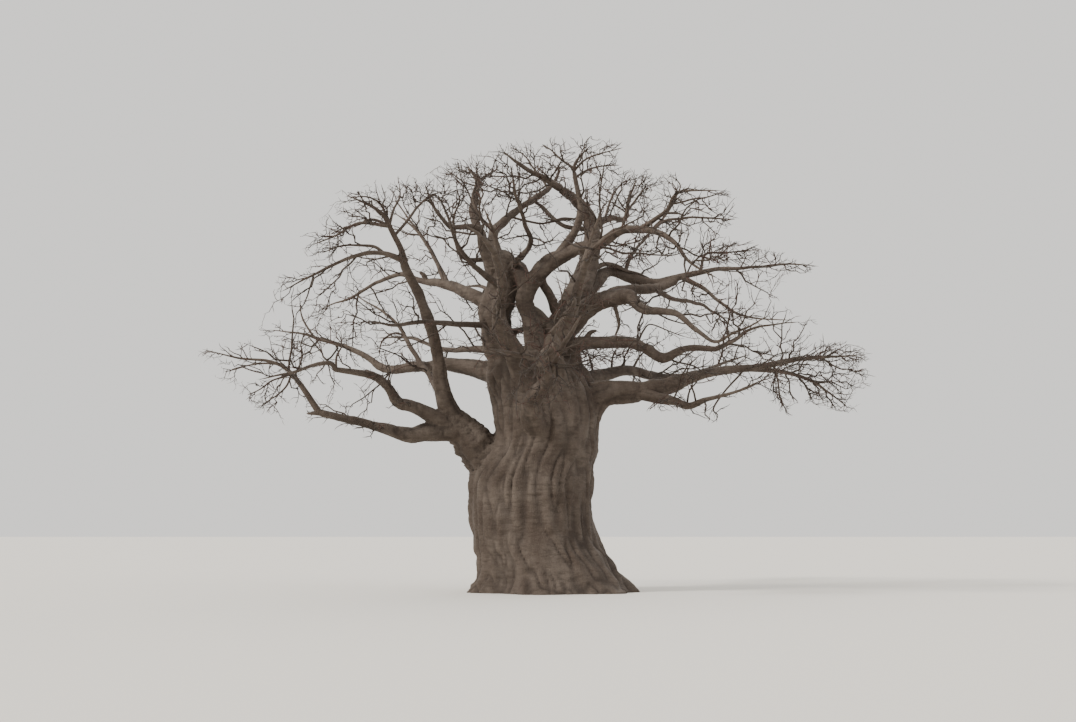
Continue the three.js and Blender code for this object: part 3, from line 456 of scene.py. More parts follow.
# %% Thin boughs and fillers
# The mass each belongs to, what it leaves, how long its longest twigs are, then its knots: across, up, how
# much further back than its foot, and radius. The first knot is drawn onto the line of what it leaves.
THIN_BOUGHS = {
    "arch underside": (
        "left_arch_twigs", "tall_left_bough", 1.7, (-5.28, 11.94, 0, 0.082), (-5.83, 12.2, -0.15, 0.064),
        (-6.28, 12.51, -0.3, 0.055), (-6.88, 12.56, -0.5, 0.041), (-7.52, 12.52, -0.7, 0.032),
        (-8.25, 12.24, -0.9, 0.014),
    ),
    "top left fan": (
        "tall_left_twigs", "tall_left_bough", 1.5, (-5.55, 13.09, 0, 0.064), (-5.8, 13.59, -0.1, 0.05),
        (-6.07, 14.07, -0.2, 0.037), (-6.51, 14.33, -0.4, 0.027), (-7.22, 14.35, -0.6, 0.014),
    ),
    "top left riser": (
        "tall_left_twigs", "tall_left_bough", 1.5, (-5.64, 13.31, 0, 0.055), (-5.6, 13.86, 0.2, 0.041),
        (-5.37, 14.32, 0.4, 0.032), (-5.4, 14.82, 0.5, 0.014),
    ),
    "top left level twig": (
        "left_shoulder_twigs", "tall_left_bough", 1.5, (-5.69, 13.4, 0, 0.055), (-6.42, 13.52, -0.2, 0.046),
        (-6.97, 13.29, -0.4, 0.037), (-7.43, 13.16, -0.6, 0.027), (-7.93, 12.95, -0.8, 0.014),
    ),
    "shoulder riser": (
        "tall_left_twigs", "tall_left_bough", 1.7, (-5.31, 13.04, 0, 0.055), (-4.98, 13.59, 0.3, 0.046),
        (-4.64, 14.07, 0.6, 0.041), (-4.27, 14.41, 0.8, 0.032), (-3.77, 14.55, 1.0, 0.014),
    ),
    "left high riser": (
        "left_rising_twigs", "left_high_bough", 1.6, (-3.66, 11.18, 0, 0.082), (-3.91, 11.67, 0.2, 0.064),
        (-4.18, 12.24, 0.5, 0.055), (-4.43, 12.63, 0.7, 0.05), (-4.79, 13.13, 0.9, 0.046),
        (-5.19, 13.52, 1.1, 0.032), (-5.6, 13.77, 1.3, 0.014),
    ),
    "hooked crown bough": (
        "left_crown_twigs", "middle_bough", 1.5, (-2.31, 11.97, 0, 0.101), (-2.77, 11.99, -0.3, 0.082),
        (-3.11, 12.17, -0.5, 0.069), (-3.27, 12.54, -0.7, 0.059), (-3.36, 13.01, -0.8, 0.055),
        (-3.39, 13.59, -0.9, 0.041), (-3.18, 14.18, -1.0, 0.027), (-3.31, 14.78, -1.1, 0.014),
    ),
    "rising crown bough": (
        "middle_twigs", "middle_crown_bough", 1.6, (-1.94, 13.13, 0, 0.091), (-2.31, 13.47, 0.2, 0.078),
        (-2.58, 13.91, 0.4, 0.069), (-2.71, 14.41, 0.5, 0.055), (-2.58, 14.96, 0.6, 0.041),
        (-2.9, 15.46, 0.7, 0.014),
    ),
    "ring twig": (
        "spur_twigs", "spur_twigs", 0.8, (-5.05, 9.14, 0, 0.041), (-5.51, 9.3, -0.1, 0.037),
        (-5.94, 8.99, -0.2, 0.032), (-6.04, 8.47, -0.3, 0.014),
    ),
    "level crown twig": (
        "middle_crown_twigs", "middle_crown_bough", 1.0, (-1.03, 13.27, 0, 0.046),
        (-0.3, 13.38, 0.2, 0.041), (0.34, 13.45, 0.3, 0.037), (1.07, 13.54, 0.4, 0.018),
    ),
    "top reaching twig": (
        "middle_crown_twigs", "middle_crown_bough", 1.5, (0.34, 14.27, 0, 0.055),
        (-0.02, 14.87, 0.1, 0.046), (-0.46, 15.46, 0.2, 0.037), (-0.8, 15.92, 0.2, 0.027),
        (-1.32, 16.24, 0.2, 0.014),
    ),
    "low end twig": (
        "low_left_twigs", "low_left_twigs", 0.9, (-9.71, 8.2, 0, 0.037), (-10.49, 8.18, 0.2, 0.032),
        (-11.13, 7.99, 0.4, 0.023), (-11.65, 7.88, 0.6, 0.014),
    ),
    "low drooping twig": (
        "low_left_twigs", "low_left_twigs", 1.0, (-9.18, 7.86, 0, 0.041), (-9.8, 7.58, -0.3, 0.032),
        (-10.33, 7.24, -0.6, 0.023), (-10.82, 7.02, -0.8, 0.014),
    ),
    "lowest drooping twig": (
        "low_left_twigs", "low_left_twigs", 1.0, (-9.12, 7.74, 0, 0.041), (-9.48, 7.24, 0.3, 0.032),
        (-9.94, 6.87, 0.6, 0.023), (-10.3, 6.63, 0.8, 0.014),
    ),
    "upright low twig": (
        "second_left_twigs", "second_left_bough", 1.0, (-7.61, 8.06, 0, 0.041), (-7.59, 8.47, 0.2, 0.037),
        (-7.41, 8.84, 0.4, 0.023), (-7.52, 9.25, 0.6, 0.014),
    ),
    "knob on the left": (
        "left_high_twigs", "left_high_bough", 0, (-4.3, 11.15, 0, 0.091), (-4.48, 11.42, -0.05, 0.082),
        (-4.63, 11.55, -0.1, 0.037),
    ),
    "broken stub": (
        "low_left_twigs", "low_left_bough", 0, (-7.88, 6.37, 0, 0.119), (-8.25, 6.34, -0.1, 0.078),
        (-8.66, 6.35, -0.2, 0.037),
    ),
    "inner loop": (
        "right_leader_twigs", "right_leader", 1.1, (1.54, 13.14, 0, 0.101), (1.03, 13.17, 0.1, 0.087),
        (0.62, 13.27, 0.25, 0.082), (0.21, 13.57, 0.4, 0.078), (-0.16, 13.98, 0.55, 0.069),
        (-0.41, 14.15, 0.6, 0.041),
    ),
    "small loop": (
        "right_leader_twigs", "right_leader", 0.8, (1.37, 13.38, 0, 0.055), (0.99, 13.53, -0.2, 0.046),
        (0.62, 13.57, -0.4, 0.041), (0.27, 13.49, -0.6, 0.037), (-0.09, 13.57, -0.8, 0.018),
    ),
    "upper arch": (
        "arching_twigs", "right_leader", 1.2, (1.34, 11.03, 0, 0.11), (1.71, 11.58, 0.2, 0.096),
        (2.11, 11.82, 0.4, 0.091), (2.55, 11.77, 0.6, 0.087), (2.94, 11.58, 0.8, 0.078),
        (3.38, 11.47, 1.0, 0.059), (3.84, 11.27, 1.2, 0.032),
    ),
    "diagonal twig": (
        "arching_back_twigs", "arching_bough", 1.3, (2.84, 11.54, 0, 0.082), (3.06, 12.04, 0.2, 0.069),
        (3.34, 12.46, 0.4, 0.059), (3.67, 12.81, 0.6, 0.055), (4.04, 13.29, 0.8, 0.05),
        (4.39, 13.66, 1.0, 0.046), (4.68, 14.1, 1.2, 0.037), (4.85, 14.54, 1.4, 0.027),
        (4.64, 14.94, 1.5, 0.014),
    ),
    "right fan": (
        "cross_rising_twigs", "cross_rising_twigs", 1.2, (4.68, 14.1, 0, 0.037), (5.26, 14.22, 0.2, 0.032),
        (5.81, 14.33, 0.4, 0.027), (6.59, 14.54, 0.6, 0.014),
    ),
    "right long twig": (
        "cross_rising_twigs", "cross_bough", 1.2, (3.84, 13.05, 0, 0.055), (4.39, 13.47, -0.2, 0.046),
        (5.14, 13.56, -0.4, 0.041), (6.04, 13.54, -0.6, 0.032), (6.98, 13.51, -0.8, 0.014),
    ),
    "right upper fan": (
        "cross_rising_twigs", "cross_rising_twigs", 1.1, (4.43, 13.82, 0, 0.037), (4.77, 14.33, 0.1, 0.032),
        (4.94, 14.77, 0.2, 0.023), (4.75, 15.07, 0.2, 0.014),
    ),
    "top right reach": (
        "top_twigs", "top_twigs", 1.0, (1.01, 15.36, 0, 0.046), (1.45, 15.75, -0.1, 0.037),
        (2.0, 15.99, -0.2, 0.027), (2.87, 16.22, -0.3, 0.014),
    ),
    "top right level reach": (
        "top_twigs", "top_twigs", 1.0, (1.04, 15.13, 0, 0.046), (1.54, 15.38, 0.2, 0.037),
        (2.09, 15.53, 0.4, 0.027), (2.75, 15.56, 0.6, 0.014),
    ),
    "top left reach": (
        "top_twigs", "top_twigs", 1.0, (0.95, 15.45, 0, 0.041), (0.62, 15.73, 0.1, 0.037),
        (0.25, 16.1, 0.2, 0.027), (-0.15, 16.37, 0.3, 0.014),
    ),
    "hanging bit": (
        "right_middle_twigs", "right_middle_bough", 0.7, (2.4, 10.45, 0, 0.082), (2.61, 9.93, 0.1, 0.069),
        (2.65, 9.56, 0.2, 0.055), (2.51, 9.17, 0.3, 0.027),
    ),
    "open arch twig": (
        "right_level_twigs", "right_level_bough", 0.9, (3.36, 8.95, 0, 0.041), (3.51, 9.34, 0.1, 0.037),
        (3.79, 9.61, 0.2, 0.027), (4.39, 9.39, 0.4, 0.023), (5.12, 9.14, 0.6, 0.014),
    ),
    "first upright back twig": (
        "back_right_twigs", "back_right_bough", 0.9, (1.71, 7.69, 0, 0.055), (1.6, 8.2, 0.2, 0.041),
        (1.48, 8.61, 0.4, 0.023),
    ),
    "second upright back twig": (
        "back_right_twigs", "back_right_bough", 0.9, (2.27, 7.85, 0, 0.055), (2.41, 8.31, 0.2, 0.041),
        (2.57, 8.73, 0.4, 0.023),
    ),
    "third upright back twig": (
        "back_right_twigs", "back_right_bough", 0.9, (3.1, 7.97, 0, 0.055), (3.34, 8.36, 0.2, 0.041),
        (3.65, 8.66, 0.4, 0.023),
    ),
    "hook": (
        "right_level_twigs", "right_level_bough", 0, (1.37, 9.01, 0, 0.119), (1.61, 9.28, -0.05, 0.087),
        (1.87, 9.37, -0.1, 0.037),
    ),
    "hanging end twig": (
        "low_right_twigs", "low_right_twigs", 0.4, (8.23, 8.06, 0, 0.037), (8.39, 7.45, 0.1, 0.032),
        (8.48, 6.9, 0.2, 0.027), (8.72, 6.36, 0.2, 0.014),
    ),
    "hanging middle twig": (
        "low_right_hanging_twigs", "low_right_hanging_twigs", 0.3, (5.78, 6.82, 0, 0.037),
        (6.06, 6.62, 0.1, 0.032), (6.22, 6.27, 0.1, 0.018),
    ),
    "first riser on the right": (
        "right_leader_twigs", "right_leader", 1.3, (1.75, 12.9, 0, 0.07), (2.12, 13.45, 0.2, 0.06),
        (2.33, 14.1, 0.4, 0.05), (2.62, 14.65, 0.5, 0.035), (2.95, 15.0, 0.5, 0.014),
    ),
    "second riser on the right": (
        "right_upper_twigs", "cross_bough", 1.2, (2.75, 13.05, 0, 0.06), (3.0, 13.75, 0.2, 0.05),
        (3.35, 14.3, 0.3, 0.04), (3.75, 14.85, 0.4, 0.014),
    ),
    "riser on the arching bough": (
        "arching_twigs", "arching_bough", 1.0, (5.58, 11.55, 0, 0.055), (5.87, 12.2, 0.1, 0.05),
        (6.6, 12.27, 0.2, 0.04), (7.6, 12.35, 0.3, 0.014),
    ),
    "riser on the left rim": (
        "left_level_twigs", "left_level_twigs", 1.1, (-8.4, 9.15, 0, 0.045), (-8.85, 9.8, 0.2, 0.037),
        (-9.0, 10.45, 0.3, 0.014),
    ),
    "front left fork": (
        "front_left_twigs", "front_left_bough", 2.2, (-1.75, 9.9, 0, 0.13), (-1.7, 10.2, -1.2, 0.11),
        (-1.75, 10.5, -2.4, 0.08), (-1.7, 10.7, -3.8, 0.015),
    ),
    "front left riser": (
        "front_left_twigs", "front_left_bough", 2.2, (-1.6, 11.1, 0, 0.11), (-1.75, 12.0, -0.4, 0.09),
        (-1.9, 13.0, -0.9, 0.06), (-2.3, 14.0, -1.6, 0.015),
    ),
    "front right fork": (
        "front_right_twigs", "front_right_bough", 2.2, (0.85, 9.9, 0, 0.13), (0.95, 10.15, -1.3, 0.11),
        (1.05, 10.4, -2.7, 0.08), (1.0, 10.6, -4.2, 0.015),
    ),
    "front right riser": (
        "front_right_twigs", "front_right_bough", 2.2, (1.15, 11.0, 0, 0.11), (1.4, 11.9, -0.3, 0.09),
        (1.7, 13.0, -0.6, 0.06), (2.2, 14.2, -1.2, 0.015),
    ),
    "low front riser": (
        "low_front_twigs", "low_front_bough", 2.0, (0.1, 7.6, 0, 0.13), (0.4, 8.4, -1.2, 0.1),
        (0.9, 9.3, -2.6, 0.07), (1.3, 10.0, -4.2, 0.015),
    ),
    "low front arm": (
        "low_front_twigs", "low_front_bough", 2.0, (-0.2, 8.3, 0, 0.1), (-0.9, 8.5, -0.9, 0.08),
        (-1.6, 8.6, -1.9, 0.06), (-2.2, 8.7, -3.0, 0.015),
    ),
    "back left fork": (
        "back_left_twigs", "back_left_bough", 2.2, (-1.8, 9.4, 0, 0.13), (-1.75, 9.9, 1.2, 0.11),
        (-1.8, 10.6, 2.6, 0.07), (-1.7, 11.3, 4.0, 0.015),
    ),
    "high back riser": (
        "high_back_twigs", "high_back_bough", 2.2, (0.8, 9.6, 0, 0.14), (1.1, 10.8, 0.8, 0.11),
        (1.5, 12.0, 1.6, 0.08), (1.75, 13.2, 2.6, 0.015),
    ),
    "low back riser": (
        "low_back_twigs", "low_back_bough", 2.2, (-0.3, 7.5, 0, 0.13), (-0.2, 8.2, 1.2, 0.1),
        (0.1, 9.0, 2.6, 0.07), (0.3, 9.6, 4.2, 0.015),
    ),
    "low back arm": (
        "low_back_twigs", "low_back_bough", 2.0, (-0.9, 8.2, 0, 0.1), (-1.5, 8.6, 0.8, 0.08),
        (-1.9, 9.3, 1.8, 0.05), (-1.8, 9.9, 2.8, 0.015),
    ),
    "fork bar": (
        "", "left_leader", 0, (-1.4, 9.28, 0, 0.14), (-1.0, 9.36, 0.15, 0.12), (-0.5, 9.5, 0.4, 0.14),
    ),
    "fork link": (
        "", "cross_bough", 0, (-0.41, 11.49, 0, 0.165), (-0.1, 11.03, 0.35, 0.151),
        (0.17, 10.57, 0.8, 0.16), (0.36, 10.07, 1.3, 0.2),
    ),
    "web under the fork": (
        "", "cross_bough", 0, (-0.66, 10.4, 0, 0.14), (-0.38, 10.02, 0.2, 0.2), (-0.12, 9.65, 0.5, 0.25),
        (0.05, 9.3, 0.8, 0.3),
    ),
    "web in the fork": (
        "", "left_leader", 0, (-1.58, 11.8, 0, 0.26), (-1.12, 11.75, -0.15, 0.28),
        (-0.88, 11.42, -0.3, 0.28), (-0.78, 11.1, -0.4, 0.27), (-0.75, 10.75, -0.5, 0.22),
        (-0.85, 10.4, -0.5, 0.16),
    ),
    "collar under the low right bough": (
        "", "low_right_bough", 0, (2.2, 7.05, 0, 0.3), (2.0, 6.75, -0.05, 0.3), (1.8, 6.4, -0.1, 0.3),
        (1.6, 5.9, -0.1, 0.28), (1.5, 5.4, -0.1, 0.2),
    ),
    "link under the arching bough": (
        "", "right_middle_bough", 0, (1.8, 10.4, 0, 0.16), (2.3, 10.75, 0.3, 0.16), (2.9, 10.9, 0.8, 0.17),
        (3.5, 10.87, 1.3, 0.18), (4.1, 10.95, 1.8, 0.16), (4.7, 11.18, 2.0, 0.14),
    ),
    "right shoulder": (
        "", "right_level_bough", 0, (0.85, 8.85, 0, 0.28), (0.97, 8.35, 0.1, 0.31), (1.12, 7.85, 0.2, 0.35),
        (1.35, 7.35, 0.2, 0.4),
    ),
}
IN_THE_SKIN = (
    "fork link", "fork bar", "web under the fork", "web in the fork", "collar under the low right bough",
    "link under the arching bough", "right shoulder",
)
print("thin boughs:", len(THIN_BOUGHS) - len(IN_THE_SKIN), "fillers:", len(IN_THE_SKIN))


# %% [markdown]
# ## Smooth lines through the knots
# A curve that passes through all its knots can be had from Blender's own curve objects, but numbers are
# easier to grow twigs on, so it is worked out here: each stretch between two knots is a cubic whose slope at
# a knot runs parallel to the line between that knot's neighbours.

# %% Lines
Line = namedtuple("Line", "at radius")  # points, one row each, and the radius at each point
UP = np.array((0.0, 0.0, 1.0))
GAP = 0.0004  # the solids lie this far apart
TIP_OF = "tip of "
COARSE = 2  # points to each stretch between two knots, as in the part's source
FINE = 6


def placed(knots):
    """Knots given as they show, at their real places."""
    across, up, back, radius = np.array(knots, float).T
    stretch = (VIEW_DISTANCE + back) / VIEW_DISTANCE
    side = EYE_SIDE + (across - EYE_SIDE) * stretch
    height = EYE_HEIGHT + (up - EYE_HEIGHT) * stretch
    return Line(np.column_stack((side, back, height)), radius)


def shown(points):
    """Where points show, across and up, in the plane through the trunk's middle."""
    shrink = VIEW_DISTANCE / (VIEW_DISTANCE + points[..., 1])
    across = EYE_SIDE + (points[..., 0] - EYE_SIDE) * shrink
    up = EYE_HEIGHT + (points[..., 2] - EYE_HEIGHT) * shrink
    return across, up


def smooth_line(knots, steps):
    """A smooth line through knots, with so many points to each stretch."""
    at = np.vstack((2 * knots.at[0] - knots.at[1], knots.at, 2 * knots.at[-1] - knots.at[-2]))
    slope = (at[2:] - at[:-2]) / 2
    along = np.linspace(0, len(knots.at) - 1, (len(knots.at) - 1) * steps + 1)
    k = np.minimum(along.astype(int), len(knots.at) - 2)
    t = (along - k)[:, None]
    path = (1 + 2 * t) * (1 - t) ** 2 * knots.at[k] + t * (1 - t) ** 2 * slope[k]
    path += t**2 * (3 - 2 * t) * knots.at[k + 1] - t**2 * (1 - t) * slope[k + 1]
    return Line(path, np.interp(along, np.arange(len(knots.at)), knots.radius))


def line_length(line):
    return np.linalg.norm(np.diff(line.at, axis=0), axis=1).sum()


def unit(vectors):
    """The same directions, each one long."""
    return vectors / np.maximum(np.linalg.norm(vectors, axis=-1, keepdims=True), 1e-9)


def bough_line(name, steps):
    return smooth_line(placed(BOUGHS[name][1:]), steps)


def stem_line(name, steps):
    """A mass's stem, from the tip of its bough or the side of the limb it is on."""
    carrier, _, *knots = MASSES[name]
    later = placed(knots)
    if not carrier.startswith(TIP_OF):
        return smooth_line(later, steps)
    bough = bough_line(carrier.removeprefix(TIP_OF), COARSE)
    start = bough.at[-1] + GAP * unit(bough.at[-1] - bough.at[-2])
    knots = Line(np.vstack((start, later.at)), np.append(bough.radius[-1], later.radius))
    return smooth_line(knots, steps)


trunk_line = Line(
    np.array([(middle, 0, height) for height, middle, _, _ in TRUNK_LEVELS]),
    np.array([half_width for _, _, half_width, _ in TRUNK_LEVELS]),
)
coarse_boughs = {name: bough_line(name, COARSE) for name in BOUGHS}
coarse_stems = {name: stem_line(name, COARSE) for name in MASSES}
print("limbs:", 1 + len(coarse_boughs), "stems:", len(coarse_stems))

# %% [markdown]
# ## How far a point lies from the limbs
# Twigs must not run through limbs. Each line is cut into straight stretches, and the nearest spot on every
# stretch is found for all points at once: one multiplication of two tables does what a loop over hundreds of
# stretches and thousands of points would take minutes for.

# %% Distances
CHUNK = 4000  # points measured at a time, so that the tables stay small


class Stretches:
    """The straight stretches of some lines, for measuring distances to them."""

    def __init__(self, lines):
        self.start = np.vstack([line.at[:-1] for line in lines])
        self.run = np.vstack([np.diff(line.at, axis=0) for line in lines])
        self.radius = np.concatenate([line.radius[:-1] for line in lines])
        self.widening = np.concatenate([np.diff(line.radius) for line in lines])
        self.owner = np.concatenate([np.full(len(line.radius) - 1, i) for i, line in enumerate(lines)])
        self.square = np.maximum((self.run**2).sum(1), 1e-12)

    def gaps(self, points):
        """The air between each point and each stretch, and how far along the stretch it is measured."""
        offset = points @ self.run.T - (self.start * self.run).sum(1)
        along = np.clip(offset / self.square, 0, 1)
        away = (points**2).sum(1)[:, None] - 2 * points @ self.start.T + (self.start**2).sum(1)
        away += along * (along * self.square - 2 * offset)
        return np.sqrt(np.maximum(away, 0)) - self.radius - along * self.widening, along

    def clearance(self, points):
        """The air between each point and the nearest stretch."""
        chunks = [self.gaps(points[i : i + CHUNK])[0].min(1) for i in range(0, len(points), CHUNK)]
        return np.concatenate(chunks) if chunks else np.zeros(0)

    def nearest(self, points, chunk=CHUNK):
        """For each point the air to the nearest stretch, that stretch's number, and how far along it is."""
        found = []
        for i in range(0, len(points), chunk):
            gaps, shares = self.gaps(points[i : i + chunk])
            best = gaps.argmin(1)
            row = np.arange(len(best))
            found.append((gaps[row, best], best, shares[row, best]))
        return [np.concatenate(column) for column in zip(*found)]


limb_stretches = Stretches([trunk_line, *coarse_boughs.values()])
stem_stretches = Stretches(list(coarse_stems.values()))
stem_names = list(coarse_stems)
print("stretches:", len(limb_stretches.square), "on limbs,", len(stem_stretches.square), "on stems")

# %% [markdown]
# ## The space that twigs may fill
# A real crown is shaped by light: twigs fill a dome, and the photograph shows its edge as a ragged outline
# with clear sky in the forks. Both are kept here as a few corners in metres, across and up in the plane
# through the trunk's middle. A twig is looked at from the camera's place: where it shows in a gap, or too
# far over the outline, it is left out. A third table says which places are fuller or emptier than the rest.

# %% Outline, gaps and covers
CROWN_MIDDLE = np.array((0.0, 0.0, 8.0))
CROWN_REACH = np.array((11.3, 10.3, 8.7))
STRAY = 0.05  # how much further out than its own foot a twig on a long arm may end
FINE_EDGE = 1.06  # finer twigs than the solids' may end this far out
RAGGED = 0.42  # metres by which a twig may pass the outline
BOX_LEAVE = 0.024  # share of the box's side by which a twig may leave it
GROUND_CLEAR = 1.5  # no twig hangs lower
TWIG_CLEAR = 0.03  # the air that it keeps from limbs
CROWN_OUTLINE = (
    (-12.64, 8.71), (-12.28, 8.24), (-11.02, 6.88), (-10.22, 6.44), (-9.22, 6.01), (-7.78, 5.8),
    (-4.9, 5.15), (-3.46, 5), (-1.66, 4.36), (0.5, 4.36), (2.3, 5.44), (3.38, 6.44), (4.82, 6.3),
    (5.98, 6.01), (6.44, 6.52), (7.7, 6.95), (8.64, 6.16), (9.14, 6.7), (10.22, 6.44), (11.02, 6.3),
    (11.59, 7.31), (11.81, 8.53), (10.76, 9.04), (9.94, 9.04), (9.68, 9.68), (8.35, 10.4), (8.21, 10.84),
    (9.94, 11.63), (9.14, 12.06), (7.78, 12.53), (6.26, 12.85), (7.06, 13.39), (6.77, 14.44), (5.47, 14.65),
    (4.75, 15.16), (3.38, 15.23), (2.52, 15.16), (2.84, 16.24), (2.02, 16.49), (-0.11, 16.49),
    (-1.37, 16.31), (-2.09, 15.95), (-3.17, 15.8), (-4.18, 15.16), (-6.08, 14.8), (-7.49, 14.51),
    (-8.06, 13.36), (-8.71, 12.96), (-9.04, 12.49), (-9.29, 11.7), (-9.86, 11.05), (-10.01, 10.4),
    (-10.22, 9.61), (-10.37, 9.11), (-11.38, 9.04),
)
SKY_GAPS = {
    "beside the left limb": ((-3.53, 7.85), (-2.27, 7.52), (-2.02, 5.98), (-2.59, 6.19), (-3.28, 7.2)),
    "under the second bough": ((-4.5, 7.74), (-3.82, 6.37), (-4.07, 6.3), (-5.29, 7.02), (-5.65, 7.78)),
    "over the low bough": ((-5.44, 6.59), (-4.72, 6.16), (-4.82, 5.9), (-5.69, 6.19)),
    "inside the left arch": ((-6.88, 13.03), (-5.76, 13.1), (-5.44, 12.28), (-6.19, 12.46), (-6.88, 12.78)),
    "left slit": ((-3.67, 8.6), (-2.23, 8.5), (-2.27, 8.32), (-3.56, 8.35)),
    "left of the fork": ((-2.41, 11.56), (-1.98, 11.38), (-2.45, 10.58), (-2.81, 10.84)),
    "over the left leader": ((-1.76, 13.79), (-1.01, 14.04), (-1.08, 13.72), (-1.58, 13.46)),
    "under the cross bough": ((-0.9, 11.95), (0.04, 12.24), (-0.58, 11.56)),
    "between the leaders": ((-0.47, 10.94), (-0.18, 11.02), (0.14, 10.08), (0.07, 9.76), (-0.43, 10.44)),
    "low in the fork": ((-1.19, 10.15), (-0.97, 9.65), (-1.19, 9.54)),
    "lowest in the fork": ((-1.08, 9.14), (-0.79, 9.22), (-0.86, 8.53)),
    "in the right leader": ((0.11, 11.2), (0.54, 10.84), (0.5, 10.62)),
    "over the arching bough's root": ((1.76, 11.77), (2.41, 12.17), (2.66, 11.88), (2.05, 11.84)),
    "slanting slit": ((1.33, 10.98), (1.87, 11.59), (1.94, 11.48), (1.55, 10.94)),
    "under the arching bough": ((1.76, 10.84), (2.84, 11.23), (2.77, 11.09), (2.09, 10.73)),
    "over the right leader": ((1.91, 13.18), (2.7, 13.28), (2.77, 12.89), (2.16, 12.71)),
    "top left of the right leader": ((0.04, 13.79), (1.15, 13.86), (1.08, 13.57), (0.36, 13.57)),
    "low right slit": ((2.02, 7.34), (3.1, 7.6), (2.88, 7.34), (2.09, 7.24)),
    "right of the low right slit": ((3.67, 7.96), (4.46, 8.1), (4.46, 7.63), (3.92, 7.7)),
    "beyond the hooked bough": ((5.54, 7.45), (7.16, 7.45), (6.12, 7.09), (5.44, 6.8), (5.04, 6.95)),
    "right of the arching bough": ((4.03, 11.84), (4.97, 11.84), (4.9, 11.38), (4.1, 11.23)),
}


def block(left, right, low, high):
    """The corners of a level rectangle."""
    return (left, low), (right, low), (right, high), (left, high)


COVERS = {  # places with another share of the usual cover: the share, then the corners
    "the net at the top": (
        2.3, (-5.2, 13.4), (-5.2, 14.9), (-2.6, 15.7), (3.3, 15.6), (5.1, 14.7), (5.1, 12.5), (1.9, 12.8),
        (0.5, 13.5), (-0.9, 13.7), (-3.3, 13.4),
    ),
    "left shoulder": (1.15, (-5.2, 12.4), (-5.2, 15.6), (-7.4, 15.3), (-8.9, 13.5), (-7.1, 12.3)),
    "inside the fork": (
        0.5, (-1.9, 13.3), (0.8, 13.4), (1.2, 12.2), (0.6, 11.1), (-0.6, 11.5), (-1.2, 12.2), (-1.9, 12.6),
    ),
    "left of the trunk": (1.1, *block(-3.8, -2.2, 8.8, 11.0)),
    "under the right middle bough": (0.35, (1.1, 9.8), (2.3, 10.3), (2.5, 9.3), (1.1, 9.2)),
    "left low rim": (1.25, (-10.1, 9.4), (-8.7, 10.6), (-7.6, 9.6), (-8.4, 8.0), (-10.1, 8.3)),
    "under the second bough's end": (0.7, (-8.4, 8.0), (-5.6, 7.9), (-5.6, 6.2), (-8.4, 6.4)),
    "end of the low right arm": (2.2, (8.8, 9.8), (13.5, 9.8), (13.5, 6.2), (7.7, 7.2), (7.7, 8.7)),
    "right rim": (1.5, (5.5, 12.8), (9.1, 13.2), (9.1, 11.6), (5.5, 11.8)),
    "right middle": (1.9, (6.2, 10.2), (10.2, 10.4), (8.8, 8.2), (5.9, 8.2)),
    "net behind the low right bough": (2.0, *block(1.0, 5.5, 7.4, 9.0)),
    "over the right level bough": (0.6, (3.6, 10.0), (5.2, 10.0), (5.3, 8.9), (4.2, 8.6), (3.4, 9.2)),
    "dense cluster over the arching bough": (3.0, (5.5, 12.7), (7.2, 12.7), (7.2, 11.9), (5.5, 11.8)),
    "right of the top": (1.1, (0.86, 15.5), (2.9, 15.6), (2.9, 14.8), (0.86, 14.8)),
    "middle of the top": (3.8, *block(-0.6, 0.15, 14.1, 15.5)),
    "left of the top's middle": (4.0, *block(-2.0, -1.3, 14.1, 14.8)),
    "over the left leader": (1.2, *block(-1.3, -0.6, 13.4, 14.1)),
    "lower in the fork": (1.0, *block(-1.3, 0.15, 11.9, 13.4)),
    "under the cross bough's end": (3.5, (2.2, 12.6), (3.75, 12.6), (3.75, 11.9), (2.6, 11.9)),
    "right end of the top net": (1.4, *block(3.75, 5.4, 12.6, 14.8)),
    "right rim over the low arm": (
        0.6, (7.3, 10.6), (8.9, 10.6), (9.6, 9.76), (9.6, 9.1), (8.0, 9.1), (7.9, 9.76), (7.3, 9.8),
    ),
    "under the low right arm": (1.0, *block(7.3, 8.1, 6.9, 7.6)),
    "hanging in the low right arm": (1.2, *block(8.8, 9.5, 6.2, 7.6)),
    "far in the low right arm": (2.0, *block(9.5, 11.7, 6.9, 8.3)),
    "under the hanging bough": (0.5, *block(5.2, 6.7, 6.0, 6.9)),
    "left end": (0.5, (-12.7, 9.0), (-10.0, 8.9), (-10.0, 7.6), (-12.7, 7.8)),
    "inner left end": (2.4, *block(-9.9, -8.5, 8.3, 9.05)),
    "outer left rim": (0.5, (-9.4, 11.2), (-8.5, 11.2), (-8.5, 9.2), (-9.6, 9.2)),
    "over the level bough's end": (2.0, *block(-7.8, -6.3, 9.04, 9.76)),
    "under the left arch": (0.45, *block(-7.1, -5.6, 11.9, 12.6)),
    "outer end of the left arch": (2.5, *block(-8.5, -7.8, 11.9, 12.6)),
    "beside the tall left bough": (0.4, *block(-6.3, -5.6, 12.6, 13.4)),
    "right of the left shoulder": (0.65, *block(-5.6, -4.2, 13.4, 14.1)),
    "left of the leader": (0.8, *block(-3.5, -2.0, 10.4, 11.2)),
    "under the second bough": (0.4, *block(-6.3, -5.6, 6.9, 7.6)),
}


def inside(polygon, across, up):
    """Whether each shown point lies inside a polygon."""
    within = np.zeros(np.shape(across), bool)
    for (x0, y0), (x1, y1) in zip(polygon, polygon[1:] + polygon[:1]):
        spans = (y0 > up) != (y1 > up)
        within ^= spans & (across < x0 + (x1 - x0) * (up - y0) / (y1 - y0 if y1 != y0 else 1))
    return within


def outness(points):
    """How far out points lie: 1 on the crown's dome, less inside it."""
    return np.linalg.norm((points - CROWN_MIDDLE) / CROWN_REACH, axis=-1)


